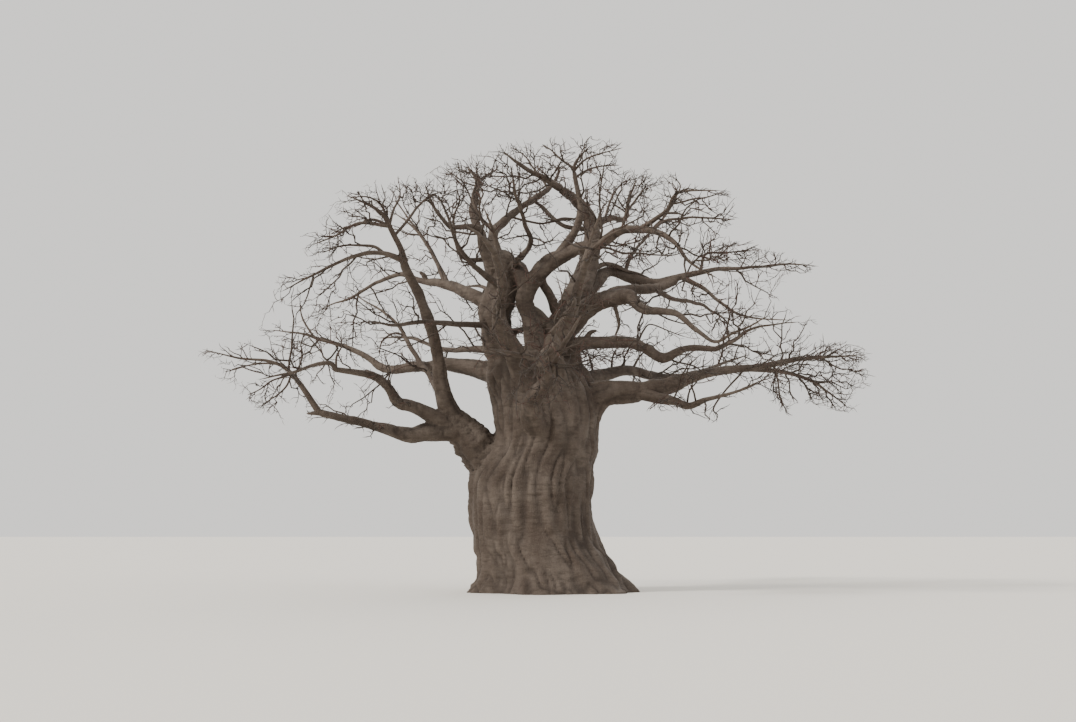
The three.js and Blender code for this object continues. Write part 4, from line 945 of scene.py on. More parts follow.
def shows_well(points, over=0.0):
    """Whether points show outside the gaps and at most so far over the edge of the crown's outline."""
    across, up = shown(points)
    above = up - CROWN_MIDDLE[2]
    far = np.maximum(np.hypot(across, above), 1)
    well = inside(CROWN_OUTLINE, across - across / far * over, up - above / far * over)
    for gap in SKY_GAPS.values():
        well &= ~inside(gap, across, up)
    return well


def in_box(points):
    """Whether points keep within the solids' own box, or barely leave it."""
    low, high = (np.array(corner) for corner in cad_box)
    leave = BOX_LEAVE * (high - low)
    return ((points > low - leave) & (points < high + leave)).all(-1)


def openness(across, up):
    """How much of the usual cover of twigs a place has."""
    share = np.ones(np.shape(across))
    for cover, *corners in COVERS.values():
        share[inside(corners, across, up)] = cover
    return share


print("outline corners:", len(CROWN_OUTLINE), "gaps:", len(SKY_GAPS))

# %% [markdown]
# ## Crooked lines
# The solids' lines are smooth. Real limbs wander a little, and swell and pinch along their length, so each
# line gets soft noise: numbers scattered on a lattice and eased between, which never jump. The noise is
# worked out from the place itself, so it is the same on every run.

# %% Soft noise
MIXERS = (73856093, 19349663, 83492791, 2654435761, 1274126177)  # large odd numbers that scatter small ones


def scatter(cells, seed):
    """A number from -1 to 1 for each cell of a lattice."""
    first, second, third, fourth, last = MIXERS
    mixed = cells[:, 0] * first ^ cells[:, 1] * second ^ cells[:, 2] * third ^ seed * fourth
    mixed = (mixed ^ (mixed >> 13)) * last & 0xFFFFFFFF
    return ((mixed >> 8) & 0xFFFF) / 32767.5 - 1


def billow(points, size, seed):
    """Soft noise from -1 to 1 that changes over about one size."""
    cell = np.floor(points / size)
    part = points / size - cell
    ease = part * part * (3 - 2 * part)
    total = np.zeros(len(points))
    for corner in itertools.product((0, 1), repeat=3):
        share = np.where(corner, ease, 1 - ease).prod(axis=1)
        total += share * scatter(cell.astype(np.int64) + corner, seed)
    return total


# %% Crooked boughs and stems
CROOK_LENGTH = 0.55  # metres from one bend of a limb to the next
CROOK_SHARE = 0.3  # of the limb's radius
CROOK_LEAST = 0.04  # metres, also where a line is thin
CROOK_MOST = 0.055
SWELL_LENGTH = 0.35
SWELL_SHARE = 0.1
BOUGH_CROOKS, STEM_CROOKS, THIN_BOUGH_CROOKS = 40, 400, 800  # where each kind's seeds start
CROOK_STEP = 5


def crooked(line, seed):
    """A line that wanders and swells a little between its two ends."""
    ease = np.sin(np.linspace(0, math.pi, len(line.at))) ** 0.5
    far = np.clip(CROOK_SHARE * line.radius, CROOK_LEAST, CROOK_MOST) * ease
    sway = np.column_stack([billow(line.at, CROOK_LENGTH, seed + axis) for axis in range(3)])
    swell = 1 + SWELL_SHARE * ease * billow(line.at, SWELL_LENGTH, seed + 3)
    return Line(line.at + sway * far[:, None], line.radius * swell)


bough_shapes = {}
for i, name in enumerate(BOUGHS):
    bough_shapes[name] = crooked(bough_line(name, FINE), BOUGH_CROOKS + CROOK_STEP * i)
stem_shapes = {}
for i, name in enumerate(MASSES):
    stem_shapes[name] = crooked(stem_line(name, FINE), STEM_CROOKS + CROOK_STEP * i)
print("points on the boughs' lines:", sum(len(line.at) for line in bough_shapes.values()))


# %% Thin boughs
def thin_bough(parent, knots, seed):
    """A thin bough whose foot lies on its parent's line, where that shows nearest to the first knot."""
    across, up = shown(parent.at)
    foot = parent.at[np.argmin((across - knots[0][0]) ** 2 + (up - knots[0][1]) ** 2)]
    later = placed([(across, up, foot[1] + back, radius) for across, up, back, radius in knots[1:]])
    radius = np.append(knots[0][3], later.radius)
    return crooked(smooth_line(Line(np.vstack((foot, later.at)), radius), FINE), seed)


parents = {**bough_shapes, **stem_shapes}
thin_shapes = {}
for i, (name, (_, parent, _, *knots)) in enumerate(THIN_BOUGHS.items()):
    thin_shapes[name] = thin_bough(parents[parent], knots, THIN_BOUGH_CROOKS + CROOK_STEP * i)
for name in IN_THE_SKIN:
    bough_shapes[name] = thin_shapes.pop(name)
print("thin boughs, metres in all:", round(sum(line_length(line) for line in thin_shapes.values())))

# %% [markdown]
# ## The solids' own twigs
# The part's source grows six to eight twigs from each stem, at a golden angle round it, bending up and out.
# A fixed run of numbers decides each twig's angle and length. With the same rule and the same numbers here,
# the dressed crown starts from the solids' own twigs. It is thinned further down.

# %% The source's rule
GOLDEN_ANGLE = 2.39996
FIRST_TWIGS = {
    "spacing": 0.5, "least": 6, "most": 8, "from": 0.12, "to": 0.97, "stray": 0.6, "wide": 1.1, "narrow": 0.5,
    "spread": 0.3, "dwindle": 0.6, "shortest": 0.8, "varies": 0.4, "shares": (1, 0.72), "lift": 0.28,
    "outward": 0.3,
}
SIDE_TWIG = {"at": 0.5, "angle": 0.75, "share": 0.55, "thin": 0.6}
TWIG_RADIUS = 0.02
KNEE = 0.45  # the share of its length at which a twig bends
KNEE_RADIUS = 0.7
TESTED = np.array((0.35, 0.7, 1.0))[:, None]  # clearance is measured at these shares of both its halves
SUNK_SHARE = 0.55  # a twig is never thicker than this share of what it grows from
FIRST_SEED = 101
SEED_STEP = 37


class Chance:
    """A fixed run of numbers from 0 to 1, each worked out from the one before."""

    FACTOR = 16807
    LIMIT = 2147483647

    def __init__(self, seed):
        self.state = seed

    def next(self):
        self.state = self.state * self.FACTOR % self.LIMIT
        return self.state / self.LIMIT


def step_at(line, share):
    """The place, the radius and the direction at a share of a line."""
    along = share * (len(line.at) - 1)
    i = min(int(along), len(line.at) - 2)
    ahead = line.at[i + 1] - line.at[i]
    radius = line.radius[i] + (line.radius[i + 1] - line.radius[i]) * (along - i)
    return line.at[i] + ahead * (along - i), radius, unit(ahead)


def square_to(direction):
    """Two directions square to each given one and to each other."""
    steep = np.abs(direction[..., 2:]) >= 0.9
    guide = np.where(steep, (1.0, 0.0, 0.0), UP)
    first = unit(np.cross(direction, guide))
    return first, np.cross(direction, first)


def twig_from(parent, share, around, angle, length, widest, rule):
    """One twig of three points: it leaves its parent at an angle, then bends up and out."""
    at, room, direction = step_at(parent, share)
    radius = min(widest, SUNK_SHARE * room)
    first, second = square_to(direction)
    heading = unit(
        direction * math.cos(angle)
        + first * math.sin(angle) * math.cos(around)
        + second * math.sin(angle) * math.sin(around)
    )
    bent = unit(heading + UP * rule["lift"] + rule["outward"] * unit(at - CROWN_MIDDLE))
    middle = at + heading * length * KNEE
    end = middle + bent * length * (1 - KNEE)
    return Line(np.array((at, middle, end)), np.array((radius, radius * KNEE_RADIUS, 0)))


def is_free(twig, mass, keep_apart):
    """Whether a twig keeps clear of the limbs and the dome's edge.

    It also keeps to its own mass's space, or else to where it shows well."""
    start, middle, end = twig.at
    edge = 1 if keep_apart else FINE_EDGE
    if end[2] > CROWN_MIDDLE[2] and outness(end) > max(edge, outness(start) + STRAY):
        return False
    samples = np.vstack((start + (middle - start) * TESTED, middle + (end - middle) * TESTED))
    clear = TWIG_RADIUS + TWIG_CLEAR
    if samples[:, 2].min() <= GROUND_CLEAR or limb_stretches.clearance(samples).min() <= clear:
        return False
    if not keep_apart:
        return bool(shows_well(twig.at[1:], RAGGED / 2).all())
    air = stem_stretches.gaps(samples)[0]
    own = stem_stretches.owner == stem_names.index(mass)
    return bool((air[:, ~own].min(1) > air[:, own].min(1) + 2 * clear).all())


def twigs_on(parent, mass, reach, count, chance, rule, keep_apart):
    """First twigs on a parent line, as pairs of (share, twig).

    A smaller twig on the side of the one before it has no share."""
    twigs = []
    for k in range(count):
        share = rule["from"] + (rule["to"] - rule["from"]) * (k + rule["stray"] * chance.next()) / count
        angle = rule["wide"] + (rule["narrow"] - rule["wide"]) * share
        angle += rule["spread"] * (chance.next() - 0.5)
        around = k * GOLDEN_ANGLE + chance.next()
        turn = chance.next() * math.pi
        longest = reach * (1 - rule["dwindle"] * share) * (rule["shortest"] + rule["varies"] * chance.next())
        lengths = (longest * part for part in rule["shares"])
        tries = (twig_from(parent, share, around, angle, length, TWIG_RADIUS, rule) for length in lengths)
        first = next((twig for twig in tries if is_free(twig, mass, keep_apart)), None)
        if first is None:
            continue
        twigs.append((share, first))
        length = SIDE_TWIG["share"] * line_length(first)
        widest = TWIG_RADIUS * SIDE_TWIG["thin"]
        side = twig_from(first, SIDE_TWIG["at"], turn, SIDE_TWIG["angle"], length, widest, rule)
        if is_free(side, mass, keep_apart):
            twigs.append((None, side))
    return twigs


# %% The same twigs as the solids have
first_twigs = []  # groups of (mass, parent line, twigs)
for index, mass in enumerate(MASSES):
    stem = coarse_stems[mass]
    count = round(line_length(stem) / FIRST_TWIGS["spacing"])
    count = min(max(count, FIRST_TWIGS["least"]), FIRST_TWIGS["most"])
    chance = Chance(FIRST_SEED + SEED_STEP * index)
    twigs = twigs_on(stem, mass, MASSES[mass][1], count, chance, FIRST_TWIGS, keep_apart=True)
    first_twigs.append((mass, stem_shapes[mass], twigs))
print("twigs that the solids have too:", sum(len(twigs) for _, _, twigs in first_twigs))

# %% [markdown]
# ## More twigs between them
# The solids carry only a few twigs for each mass, so the same rule runs again with other numbers and a
# closer spacing, also along the thin outer part of each bough and along the thin boughs. These twigs may
# mingle with those of the next mass, as real ones do. One that would grow past the crown's outline is tried
# again shorter, so that many end just at it and the rim stays full.

# %% Twigs between the first ones
BETWEEN_SPACING = 0.22
BETWEEN_TWIGS = {**FIRST_TWIGS, "wide": 1.25, "narrow": 0.45, "spread": 0.5, "dwindle": 0.3,
                 "shares": (1, 0.8, 0.62, 0.45, 0.3), "lift": 0.08, "outward": 0.12}
TWIG_BEARING = 0.24  # a bough carries twigs where its radius is below this
BETWEEN_SEED = 5003
THIN_BOUGH_SEED = 9001


def slender_part(line, thickest):
    """The outer part of a line, from where it gets thinner than a given radius."""
    start = int(np.argmax(line.radius < thickest))
    return Line(line.at[start:], line.radius[start:])


for index, (mass, (carrier, *_)) in enumerate(MASSES.items()):
    parents = [stem_shapes[mass]]
    if carrier.startswith(TIP_OF):
        parents.append(slender_part(bough_shapes[carrier.removeprefix(TIP_OF)], TWIG_BEARING))
    for turn, parent in enumerate(parents):
        chance = Chance(BETWEEN_SEED + SEED_STEP * (2 * index + turn))
        count = max(2, round(line_length(parent) / BETWEEN_SPACING))
        reach = MASSES[mass][1]
        twigs = twigs_on(parent, mass, reach, count, chance, BETWEEN_TWIGS, keep_apart=False)
        first_twigs.append((mass, parent, twigs))
for index, (name, parent) in enumerate(thin_shapes.items()):
    mass, _, reach = THIN_BOUGHS[name][:3]
    chance = Chance(THIN_BOUGH_SEED + SEED_STEP * index)
    count = round(line_length(parent) / BETWEEN_SPACING) if reach else 0
    twigs = twigs_on(parent, mass, reach, count, chance, BETWEEN_TWIGS, keep_apart=False)
    first_twigs.append((mass, parent, twigs))
print("first twigs in all:", sum(len(twigs) for _, _, twigs in first_twigs))

# %% [markdown]
# ## Ever finer twigs
# Each first twig carries second twigs, and each of those carries short spurs, which is where a baobab's
# leaves and flowers would sit. There are tens of thousands, so each generation is worked out at once as a
# batch: one array holds all the points of all its twigs. A twig is made of short straight steps, and its
# heading wanders a little at each, which gives the crooked look of wood that grew in fits and starts.

# %% Batches
Batch = namedtuple("Batch", "at radius mass")  # (twigs, points, 3), (twigs, points), and each twig's mass
SECOND_TWIGS = {
    "spacing": 0.24, "least": 2, "most": 9, "from": 0.14, "to": 1.0, "wide": 1.25, "narrow": 0.55,
    "spread": 0.7, "length": 0.85, "share": 0.75, "dwindle": 0.35, "steps": 4, "wander": 0.26, "lift": 0.03,
    "droop": 0.05, "radius": 0.0185, "end": 0.6,
}
SPURS = {
    "spacing": 0.15, "least": 1, "most": 6, "from": 0.2, "to": 1.0, "wide": 1.2, "narrow": 0.7,
    "spread": 0.8, "length": 0.27, "share": 0.7, "dwindle": 0.3, "steps": 2, "wander": 0.3, "lift": 0.08,
    "droop": 0.04, "radius": 0.0142, "end": 0.72,
}
PLACE_LEAST, PLACE_VARIES = 0.4, 0.6  # where a twig sits in its stretch of the parent
LENGTH_LEAST = 0.5  # as a share of the usual length; up to once more is left to chance
RADIUS_LEAST, RADIUS_VARIES = 0.8, 0.4
ROOM_SHARE = 0.9  # a finer twig is never thicker than this share of what it grows from
LAST_PLACE = 0.999  # the furthest share of its parent at which a twig can sit
HANGING = -0.2  # a twig that heads down more steeply than this droops further


def branch(parents, rule, random):
    """The twigs that grow on every twig of a batch, by one rule."""
    count, points = parents.radius.shape
    runs = np.linalg.norm(np.diff(parents.at, axis=1), axis=2).sum(1)
    numbers = np.clip(np.round(runs / rule["spacing"]), rule["least"], rule["most"]).astype(int)
    parent = np.repeat(np.arange(count), numbers)
    k = np.arange(len(parent)) - np.repeat(np.cumsum(numbers) - numbers, numbers)
    chance = random.random((5, len(parent)))
    place = k + PLACE_VARIES * chance[0] + PLACE_LEAST
    share = rule["from"] + (rule["to"] - rule["from"]) * place / numbers[parent]
    share = np.minimum(share, LAST_PLACE)
    along = share * (points - 1)
    i = along.astype(int)
    part = along - i
    ahead = parents.at[parent, i + 1] - parents.at[parent, i]
    root = parents.at[parent, i] + ahead * part[:, None]
    room = parents.radius[parent, i] * (1 - part) + parents.radius[parent, i + 1] * part
    direction = unit(ahead)
    angle = rule["wide"] + (rule["narrow"] - rule["wide"]) * share + rule["spread"] * (chance[1] - 0.5)
    around = k * GOLDEN_ANGLE + 2 * np.pi * chance[2]
    angle, around = angle[:, None], around[:, None]
    first, second = square_to(direction)
    heading = direction * np.cos(angle) + (first * np.cos(around) + second * np.sin(around)) * np.sin(angle)
    length = rule["length"] * (1 - rule["dwindle"] * share) * (LENGTH_LEAST + chance[3])
    length = np.minimum(length, rule["share"] * runs[parent])
    bend = np.where(heading[:, 2:] < HANGING, -rule["droop"], rule["lift"]) * UP
    bend = bend + rule["lift"] * unit(root - CROWN_MIDDLE)
    at = [root]
    for _ in range(rule["steps"]):
        heading = unit(heading + bend + rule["wander"] * random.normal(size=heading.shape))
        at.append(at[-1] + heading * (length / rule["steps"])[:, None])
    usual = rule["radius"] * (RADIUS_LEAST + RADIUS_VARIES * chance[4])
    widest = np.minimum(usual, ROOM_SHARE * room)
    taper = np.linspace(1, rule["end"], rule["steps"] + 1)
    return Batch(np.stack(at, axis=1), widest[:, None] * taper, parents.mass[parent])


def picked(batch, chosen):
    """Some of a batch's twigs."""
    return Batch(batch.at[chosen], batch.radius[chosen], batch.mass[chosen])


def kept(batch, clear, random):
    """The twigs of a batch that keep clear of limbs, ground, dome and gaps.

    How far each may pass the crown's outline is left to chance, so the rim is ragged."""
    over = random.uniform(-RAGGED / 4, RAGGED, len(batch.mass))
    tips, roots = batch.at[:, -1], batch.at[:, 0]
    middles = batch.at[:, batch.at.shape[1] // 2]
    good = (tips[:, 2] < CROWN_MIDDLE[2]) | (outness(tips) <= np.maximum(FINE_EDGE, outness(roots) + STRAY))
    good &= shows_well(tips, over) & shows_well(middles, over) & in_box(tips)
    good &= batch.at[..., 2].min(1) > GROUND_CLEAR
    for points in (tips, middles):
        good[good] = limb_stretches.clearance(points[good]) > clear
    return picked(batch, good)


# %% [markdown]
# ## Where it is too crowded
# In a real crown twigs die where others already take the light, so no place fills up. Here each generation is
# thinned by how much of the view its twigs would cover, as the camera sees it. That keeps as much sky between
# the twigs as the photograph shows, also where front and back boughs pass behind each other. What grows in
# front of the trunk or behind it takes no sky away, so more of it may stay, and the crown is full all round.

# %% Thinning
THINNED = {  # the side of a cell in metres, and the share of it that each generation may cover
    "first": (1.0, 0.2), "second": (0.5, 0.17), "spur": (0.3, 0.13), "outer spur": (0.3, 0.04),
}
BLOCK = 1.5  # metres across a block in which neighbours are counted
BEHIND, BEHIND_SHARE = 1.0, 5.0  # from so far behind the trunk's middle, so many times the cover may stay
BEFORE, BEFORE_SHARE = -2.5, 2.2
TRUNK_AREA = (
    (-2.4, 2.0), (-2.2, 9.5), (-1.9, 11.8), (-1.2, 10.4), (0.3, 9.6), (1.4, 12.4), (1.9, 7.4), (1.9, 2.0),
)


def neighbours(points):
    """How many of the points lie in the same block of space as each."""
    blocks = np.floor(points / BLOCK).astype(int) @ (1, 100, 10000)
    _, number, counts = np.unique(blocks, return_inverse=True, return_counts=True)
    return counts[number]


def uncrowded(batch, generation, random):
    """Which twigs may stay so that no cell of the view fills up beyond a share of its area.

    Those with few neighbours in depth are likelier to stay, so the crown is full from the sides too."""
    cell, fullest = THINNED[generation]
    across, up = shown(batch.at)
    middle = across.shape[1] // 2
    covered = np.hypot(across[:, -1] - across[:, 0], up[:, -1] - up[:, 0]) * batch.radius.mean(1) * 2
    cells = np.floor(across[:, middle] / cell) * 1000 + np.floor(up[:, middle] / cell)
    order = np.lexsort((random.random(len(cells)) * neighbours(batch.at[:, middle]), cells))
    total = np.cumsum(covered[order])
    starts = np.flatnonzero(np.diff(cells[order], prepend=np.inf))
    before = (total - covered[order])[starts]
    within = total - np.repeat(before, np.diff(np.append(starts, len(cells))))
    back = batch.at[:, middle, 1]
    extra = np.where(back > BEHIND, BEHIND_SHARE, np.where(back < BEFORE, BEFORE_SHARE, 1))
    extra = np.where(inside(TRUNK_AREA, across[:, middle], up[:, middle]), extra, 1)
    share = openness(across[:, middle], up[:, middle]) * extra
    limit = fullest * cell**2 * share[order]
    stays = np.zeros(len(cells), bool)
    stays[order] = within - covered[order] / 2 <= limit
    return stays


def settled(batch, clear, generation, random):
    """What stays of a generation: clear of limbs and gaps, and not crowded."""
    batch = kept(batch, clear, random)
    return picked(batch, uncrowded(batch, generation, random))


# %% First twigs as one batch
FIRST_RADIUS = 0.029  # at a long twig's foot
FIRST_TAPER = (1, 0.75, 0.4)  # of its radius, at foot, knee and tip
FIRST_POINTS = 3  # to each of its two stretches
STEM_POINTS = 25
WANDER = 0.055  # metres that a first twig strays from its smooth line
TWIG_SEED = 11


def as_batch(random):
    """The first twigs, smoothed, a little crooked, and rooted in the crooked stems.

    Also which twig each one grows on, or -1 where that is a stem or bough."""
    lines, masses, carriers = [], [], []
    for mass, stem, twigs in first_twigs:
        for share, twig in twigs:
            parent = lines[-1] if share is None else stem
            root, room, _ = step_at(parent, SIDE_TWIG["at"] if share is None else share)
            length = line_length(twig)
            widest = min(FIRST_RADIUS * length**0.5, ROOM_SHARE * room)
            knots = Line(np.vstack((root, twig.at[1:])), widest * np.array(FIRST_TAPER))
            smooth = smooth_line(knots, FIRST_POINTS)
            stray = random.normal(size=smooth.at.shape) * WANDER * min(length, 1)
            stray[0] = 0
            carriers.append(-1 if share is not None else len(lines) - 1)
            lines.append(Line(smooth.at + stray, smooth.radius))
            masses.append(stem_names.index(mass))
    at = np.array([line.at for line in lines])
    radius = np.array([line.radius for line in lines])
    return Batch(at, radius, np.array(masses)), np.array(carriers)


random = np.random.RandomState(TWIG_SEED)
all_firsts, carriers = as_batch(random)
over = random.uniform(0, RAGGED, len(carriers))
points_shown = range(2, all_firsts.at.shape[1])  # all but those at a twig's foot
chosen = np.all([shows_well(all_firsts.at[:, j], over) for j in points_shown], axis=0)
chosen &= in_box(all_firsts.at[:, -1]) & uncrowded(all_firsts, "first", random)
chosen &= (carriers < 0) | chosen[carriers]  # a side twig goes with the twig that carries it
firsts = picked(all_firsts, chosen)


def stems_as_batch():
    """The stems and thin boughs, which carry short twigs of their own, each cut to as many points."""
    carriers = list(stem_shapes.items())
    carriers += [(THIN_BOUGHS[name][0], line) for name, line in thin_shapes.items()]
    share = np.linspace(0, 1, STEM_POINTS)
    at, radius = [], []
    for _, line in carriers:
        along = np.linspace(0, 1, len(line.radius))
        at.append(np.column_stack([np.interp(share, along, line.at[:, axis]) for axis in range(3)]))
        radius.append(np.interp(share, along, line.radius))
    return Batch(np.array(at), np.array(radius), np.array([stem_names.index(mass) for mass, _ in carriers]))


# %% Finer twigs, thinned
TWIGS_ON_STEMS = {**SECOND_TWIGS, "most": 16, "from": 0.3, "share": 0.25}
SPURS_ON_FIRSTS = {**SPURS, "from": 0.35}

stems = stems_as_batch()
on_firsts = branch(firsts, SECOND_TWIGS, random)
on_stems = branch(stems, TWIGS_ON_STEMS, random)
both = Batch(*(np.concatenate(pair) for pair in zip(on_firsts, on_stems)))
seconds = settled(both, TWIG_CLEAR, "second", random)
spurs = settled(branch(seconds, SPURS, random), 0, "spur", random)
outer_spurs = settled(branch(firsts, SPURS_ON_FIRSTS, random), 0, "outer spur", random)
finer = (seconds, spurs, outer_spurs)
print("first, second twigs and spurs:", [len(batch.mass) for batch in (firsts, *finer)])

# %% [markdown]
# ## From lines to meshes
# A twig is a tube with three sides: thinner than a pixel, it needs no more. Blender can bevel a curve into a
# tube, but with this many twigs a joined mesh made straight from arrays is faster.
# Each ring of points is turned from the last one by as little as the line's bend asks, so no tube twists.

# %% Tubes
def rings(at, radius, sides):
    """Rings of points round every point of many lines."""
    ahead = unit(np.gradient(at, axis=1))
    first = square_to(ahead[:, 0])[0]
    turns = np.linspace(0, 2 * np.pi, sides, endpoint=False)[:, None]
    made = []
    for j in range(at.shape[1]):
        first = unit(first - (first * ahead[:, j]).sum(1, keepdims=True) * ahead[:, j])
        second = np.cross(ahead[:, j], first)
        spokes = first[:, None] * np.cos(turns) + second[:, None] * np.sin(turns)
        made.append(at[:, j, None] + spokes * radius[:, j, None, None])
    return np.stack(made, axis=1)


def walls(count, sides):
    """The faces between so many rings."""
    side = np.arange(sides)
    ahead = (side + 1) % sides
    row = np.arange(count - 1)[:, None] * sides
    corners = (row + side, row + ahead, row + ahead + sides, row + side + sides)
    return np.stack(corners, axis=-1).reshape(-1, 4)


def tubes(at, radius, sides):
    """Closed tubes with pointed tips along many lines: vertices, and faces by how many corners they have."""
    count, points = radius.shape
    bodies = rings(at, radius, sides)[:, :-1].reshape(count, -1, 3)
    vertices = np.concatenate((bodies, at[:, -1:]), axis=1)
    side = np.arange(sides)
    last = (points - 2) * sides
    tip = np.stack((last + side, last + (side + 1) % sides, np.full(sides, last + sides)), axis=-1)
    offset = (np.arange(count) * vertices.shape[1])[:, None, None]
    kinds = (walls(points - 1, sides), tip, side[::-1][None])
    return vertices.reshape(-1, 3), [(face + offset).reshape(-1, face.shape[1]) for face in kinds]


def tube_part(line, sides, finish=0):
    """One line's tube as a part of a piece, with the number of its material."""
    return (*tubes(line.at[None], line.radius[None], sides), finish)


def make_piece(name, parts, materials):
    """One mesh object joined from parts, each (vertices, faces, the number of its material)."""
    corners, sizes, finishes, offset = [], [], [], 0
    for vertices, faces, finish in parts:
        for face in faces:
            corners.append((face + offset).ravel())
            sizes.append(np.full(len(face), face.shape[1]))
            finishes.append(np.full(len(face), finish))
        offset += len(vertices)
    corners, sizes, finishes = (
        np.concatenate(values).astype(np.int32) for values in (corners, sizes, finishes)
    )
    places = np.concatenate([part[0] for part in parts]).astype(np.float32)
    starts = np.concatenate(([0], np.cumsum(sizes)[:-1])).astype(np.int32)
    mesh = bpy.data.meshes.new(name)
    mesh.vertices.add(offset)
    mesh.vertices.foreach_set("co", places.ravel())
    mesh.loops.add(len(corners))
    mesh.polygons.add(len(sizes))
    mesh.polygons.foreach_set("loop_start", starts)
    mesh.polygons.foreach_set("vertices", corners)
    mesh.polygons.foreach_set("material_index", finishes)
    mesh.update(calc_edges=True)
    mesh.shade_smooth()
    for material in materials:
        mesh.materials.append(material)
    made = bpy.data.objects.new(name, mesh)
    bpy.context.scene.collection.objects.link(made)
    print(name, "triangles:", int((sizes - 2).sum()))
    return made


# %% [markdown]
# ## One skin over the trunk and its boughs
# In the real tree, bark runs without a seam from the trunk into every bough. Tubes pushed into a trunk would
# show hard creases there. So the tubes are only a rough start: a voxel remesh melts them into one closed
# surface, and each of its points is then moved to where the limbs' own distances, blended, say that the
# surface lies. The blend fills each crotch with a fillet as wide as the thinner limb asks.

# %% The trunk's profile
SKIN_SIDES = 24
BELOW_GROUND = -0.4  # the trunk is made this deep and cut flat at the ground afterwards
TRUNK_TOP = ((8.75, -0.5, 0.5, 0.52), (8.95, -0.5, 0.05, 0.05))  # levels that round it off
RING_HEIGHT = 0.2  # metres between two rings of the rough trunk
TOP_RINGS = (8.8, 8.9)

levels = np.array(TRUNK_LEVELS + TRUNK_TOP)
profile = smooth_line(Line(levels, levels[:, 2]), FINE).at


def trunk_at(heights):
    """The trunk's middle, half width and half depth at some heights."""
    return [np.interp(heights, profile[:, 0], profile[:, column]) for column in (1, 2, 3)]


def rib_at(heights, angles):
    """How far the ribs at the trunk's foot stand out, as a share of its radius."""
    fade = np.maximum(0, 1 - np.maximum(heights, 0) / BUTTRESS_HEIGHT) ** 2
    wandering = angles + 0.22 * np.sin(2 * angles + 0.7) + 0.1 * np.sin(3 * angles)
    return 1 + BUTTRESS_DEPTH * fade * np.cos(BUTTRESSES * wandering)


def trunk_tube():
    """A rough closed trunk."""
    heights = np.append(np.arange(BELOW_GROUND, TOP_RINGS[0], RING_HEIGHT), TOP_RINGS[1])
    middle, width, depth = trunk_at(np.maximum(heights, 0))
    turns = np.linspace(0, 2 * np.pi, 2 * SKIN_SIDES, endpoint=False)
    x = middle[:, None] + width[:, None] * np.cos(turns)
    y = depth[:, None] * np.sin(turns)
    z = np.broadcast_to(heights[:, None], x.shape)
    body = np.stack((x, y, z), axis=-1)
    side = np.arange(len(turns))
    caps = [side[::-1][None], (side + (len(heights) - 1) * len(turns))[None]]
    return body.reshape(-1, 3), [walls(len(heights), len(turns)), *caps]


# %% The rough start, melted into one surface
SKIN_THINNEST = 0.13  # boughs thinner than this are tubes of their own
TAIL = 0.5  # metres over which the skin draws to a point inside the thin tube
TAIL_RADIUS = 0.02
ROUGH_THINNEST = 0.06  # a rough tube is at least this thick, so that the voxels catch it
VOXEL = 0.067


def stout_part(line):
    """The part of a bough that the skin covers, drawn to a point inside the thin tube that goes on."""
    thin = line.radius < SKIN_THINNEST
    if not thin.any():
        return line
    cut = max(int(np.argmax(thin)), 2)
    steps = np.linalg.norm(np.diff(line.at[cut:], axis=0), axis=1)
    tail = np.concatenate(([0], np.cumsum(steps)))
    keep = tail < TAIL
    radius = np.maximum(line.radius[cut:][keep] * (1 - tail[keep] / TAIL), TAIL_RADIUS)
    return Line(np.vstack((line.at[:cut], line.at[cut:][keep])), np.append(line.radius[:cut], radius))


stout_lines = {name: stout_part(line) for name, line in bough_shapes.items()}
rough_parts = [(*trunk_tube(), 0)]
for line in stout_lines.values():
    rough_parts.append(tube_part(Line(line.at, np.maximum(line.radius, ROUGH_THINNEST)), SKIN_SIDES))
rough = make_piece("rough_limbs", rough_parts, [])
melt = rough.modifiers.new("melt", "REMESH")
melt.mode = "VOXEL"
melt.voxel_size = VOXEL
bpy.context.view_layer.update()
melted = bpy.data.meshes.new_from_object(rough.evaluated_get(bpy.context.evaluated_depsgraph_get()))
bpy.data.objects.remove(rough)
print("melted faces:", len(melted.polygons))

# %% Where the blended surface lies
BLEND = 0.35  # how wide a fillet is, as a share of the thinner limb's radius
NUDGE = 0.02  # metres up and down for measuring the trunk's slope
STEEPEST = 3
NEAR = 1.5  # metres from a bough's box within which it counts
FAR_OFF = 9.0
bough_stretches = [Stretches([line]) for line in stout_lines.values()]


def trunk_air(points):
    """The air between points and the trunk, the way out of it, and the trunk's radius there."""
    def air(heights):
        middle, width, depth = trunk_at(np.maximum(heights, 0))
        x, y = points[:, 0] - middle, points[:, 1]
        rib = rib_at(heights, np.arctan2(y, x))
        share = np.hypot(x / width, y / depth)
        radius = (width + depth) / 2
        way = np.column_stack((x, y)) / np.hypot(x, y)[:, None]
        return (share / rib - 1) * radius * rib, way, radius

    here, way, radius = air(points[:, 2])
    slope = (air(points[:, 2] + NUDGE)[0] - air(points[:, 2] - NUDGE)[0]) / (2 * NUDGE)
    out = np.column_stack((way, np.clip(slope, -STEEPEST, STEEPEST)))
    steepness = np.linalg.norm(out, axis=1)
    above = points[:, 2] > levels[-1, 0]
    here = np.where(above, here + points[:, 2] - levels[-1, 0], here)
    return here / steepness, out / steepness[:, None], radius


def bough_air(stretches, points):
    """The same for one bough, and how far along it each point lies."""
    air, best, share = stretches.nearest(points)
    foot = stretches.start[best] + stretches.run[best] * share[:, None]
    radius = stretches.radius[best] + stretches.widening[best] * share
    lengths = np.sqrt(stretches.square)
    along = np.concatenate(([0], np.cumsum(lengths)))[best] + share * lengths[best]
    return air, unit(points - foot), radius, along


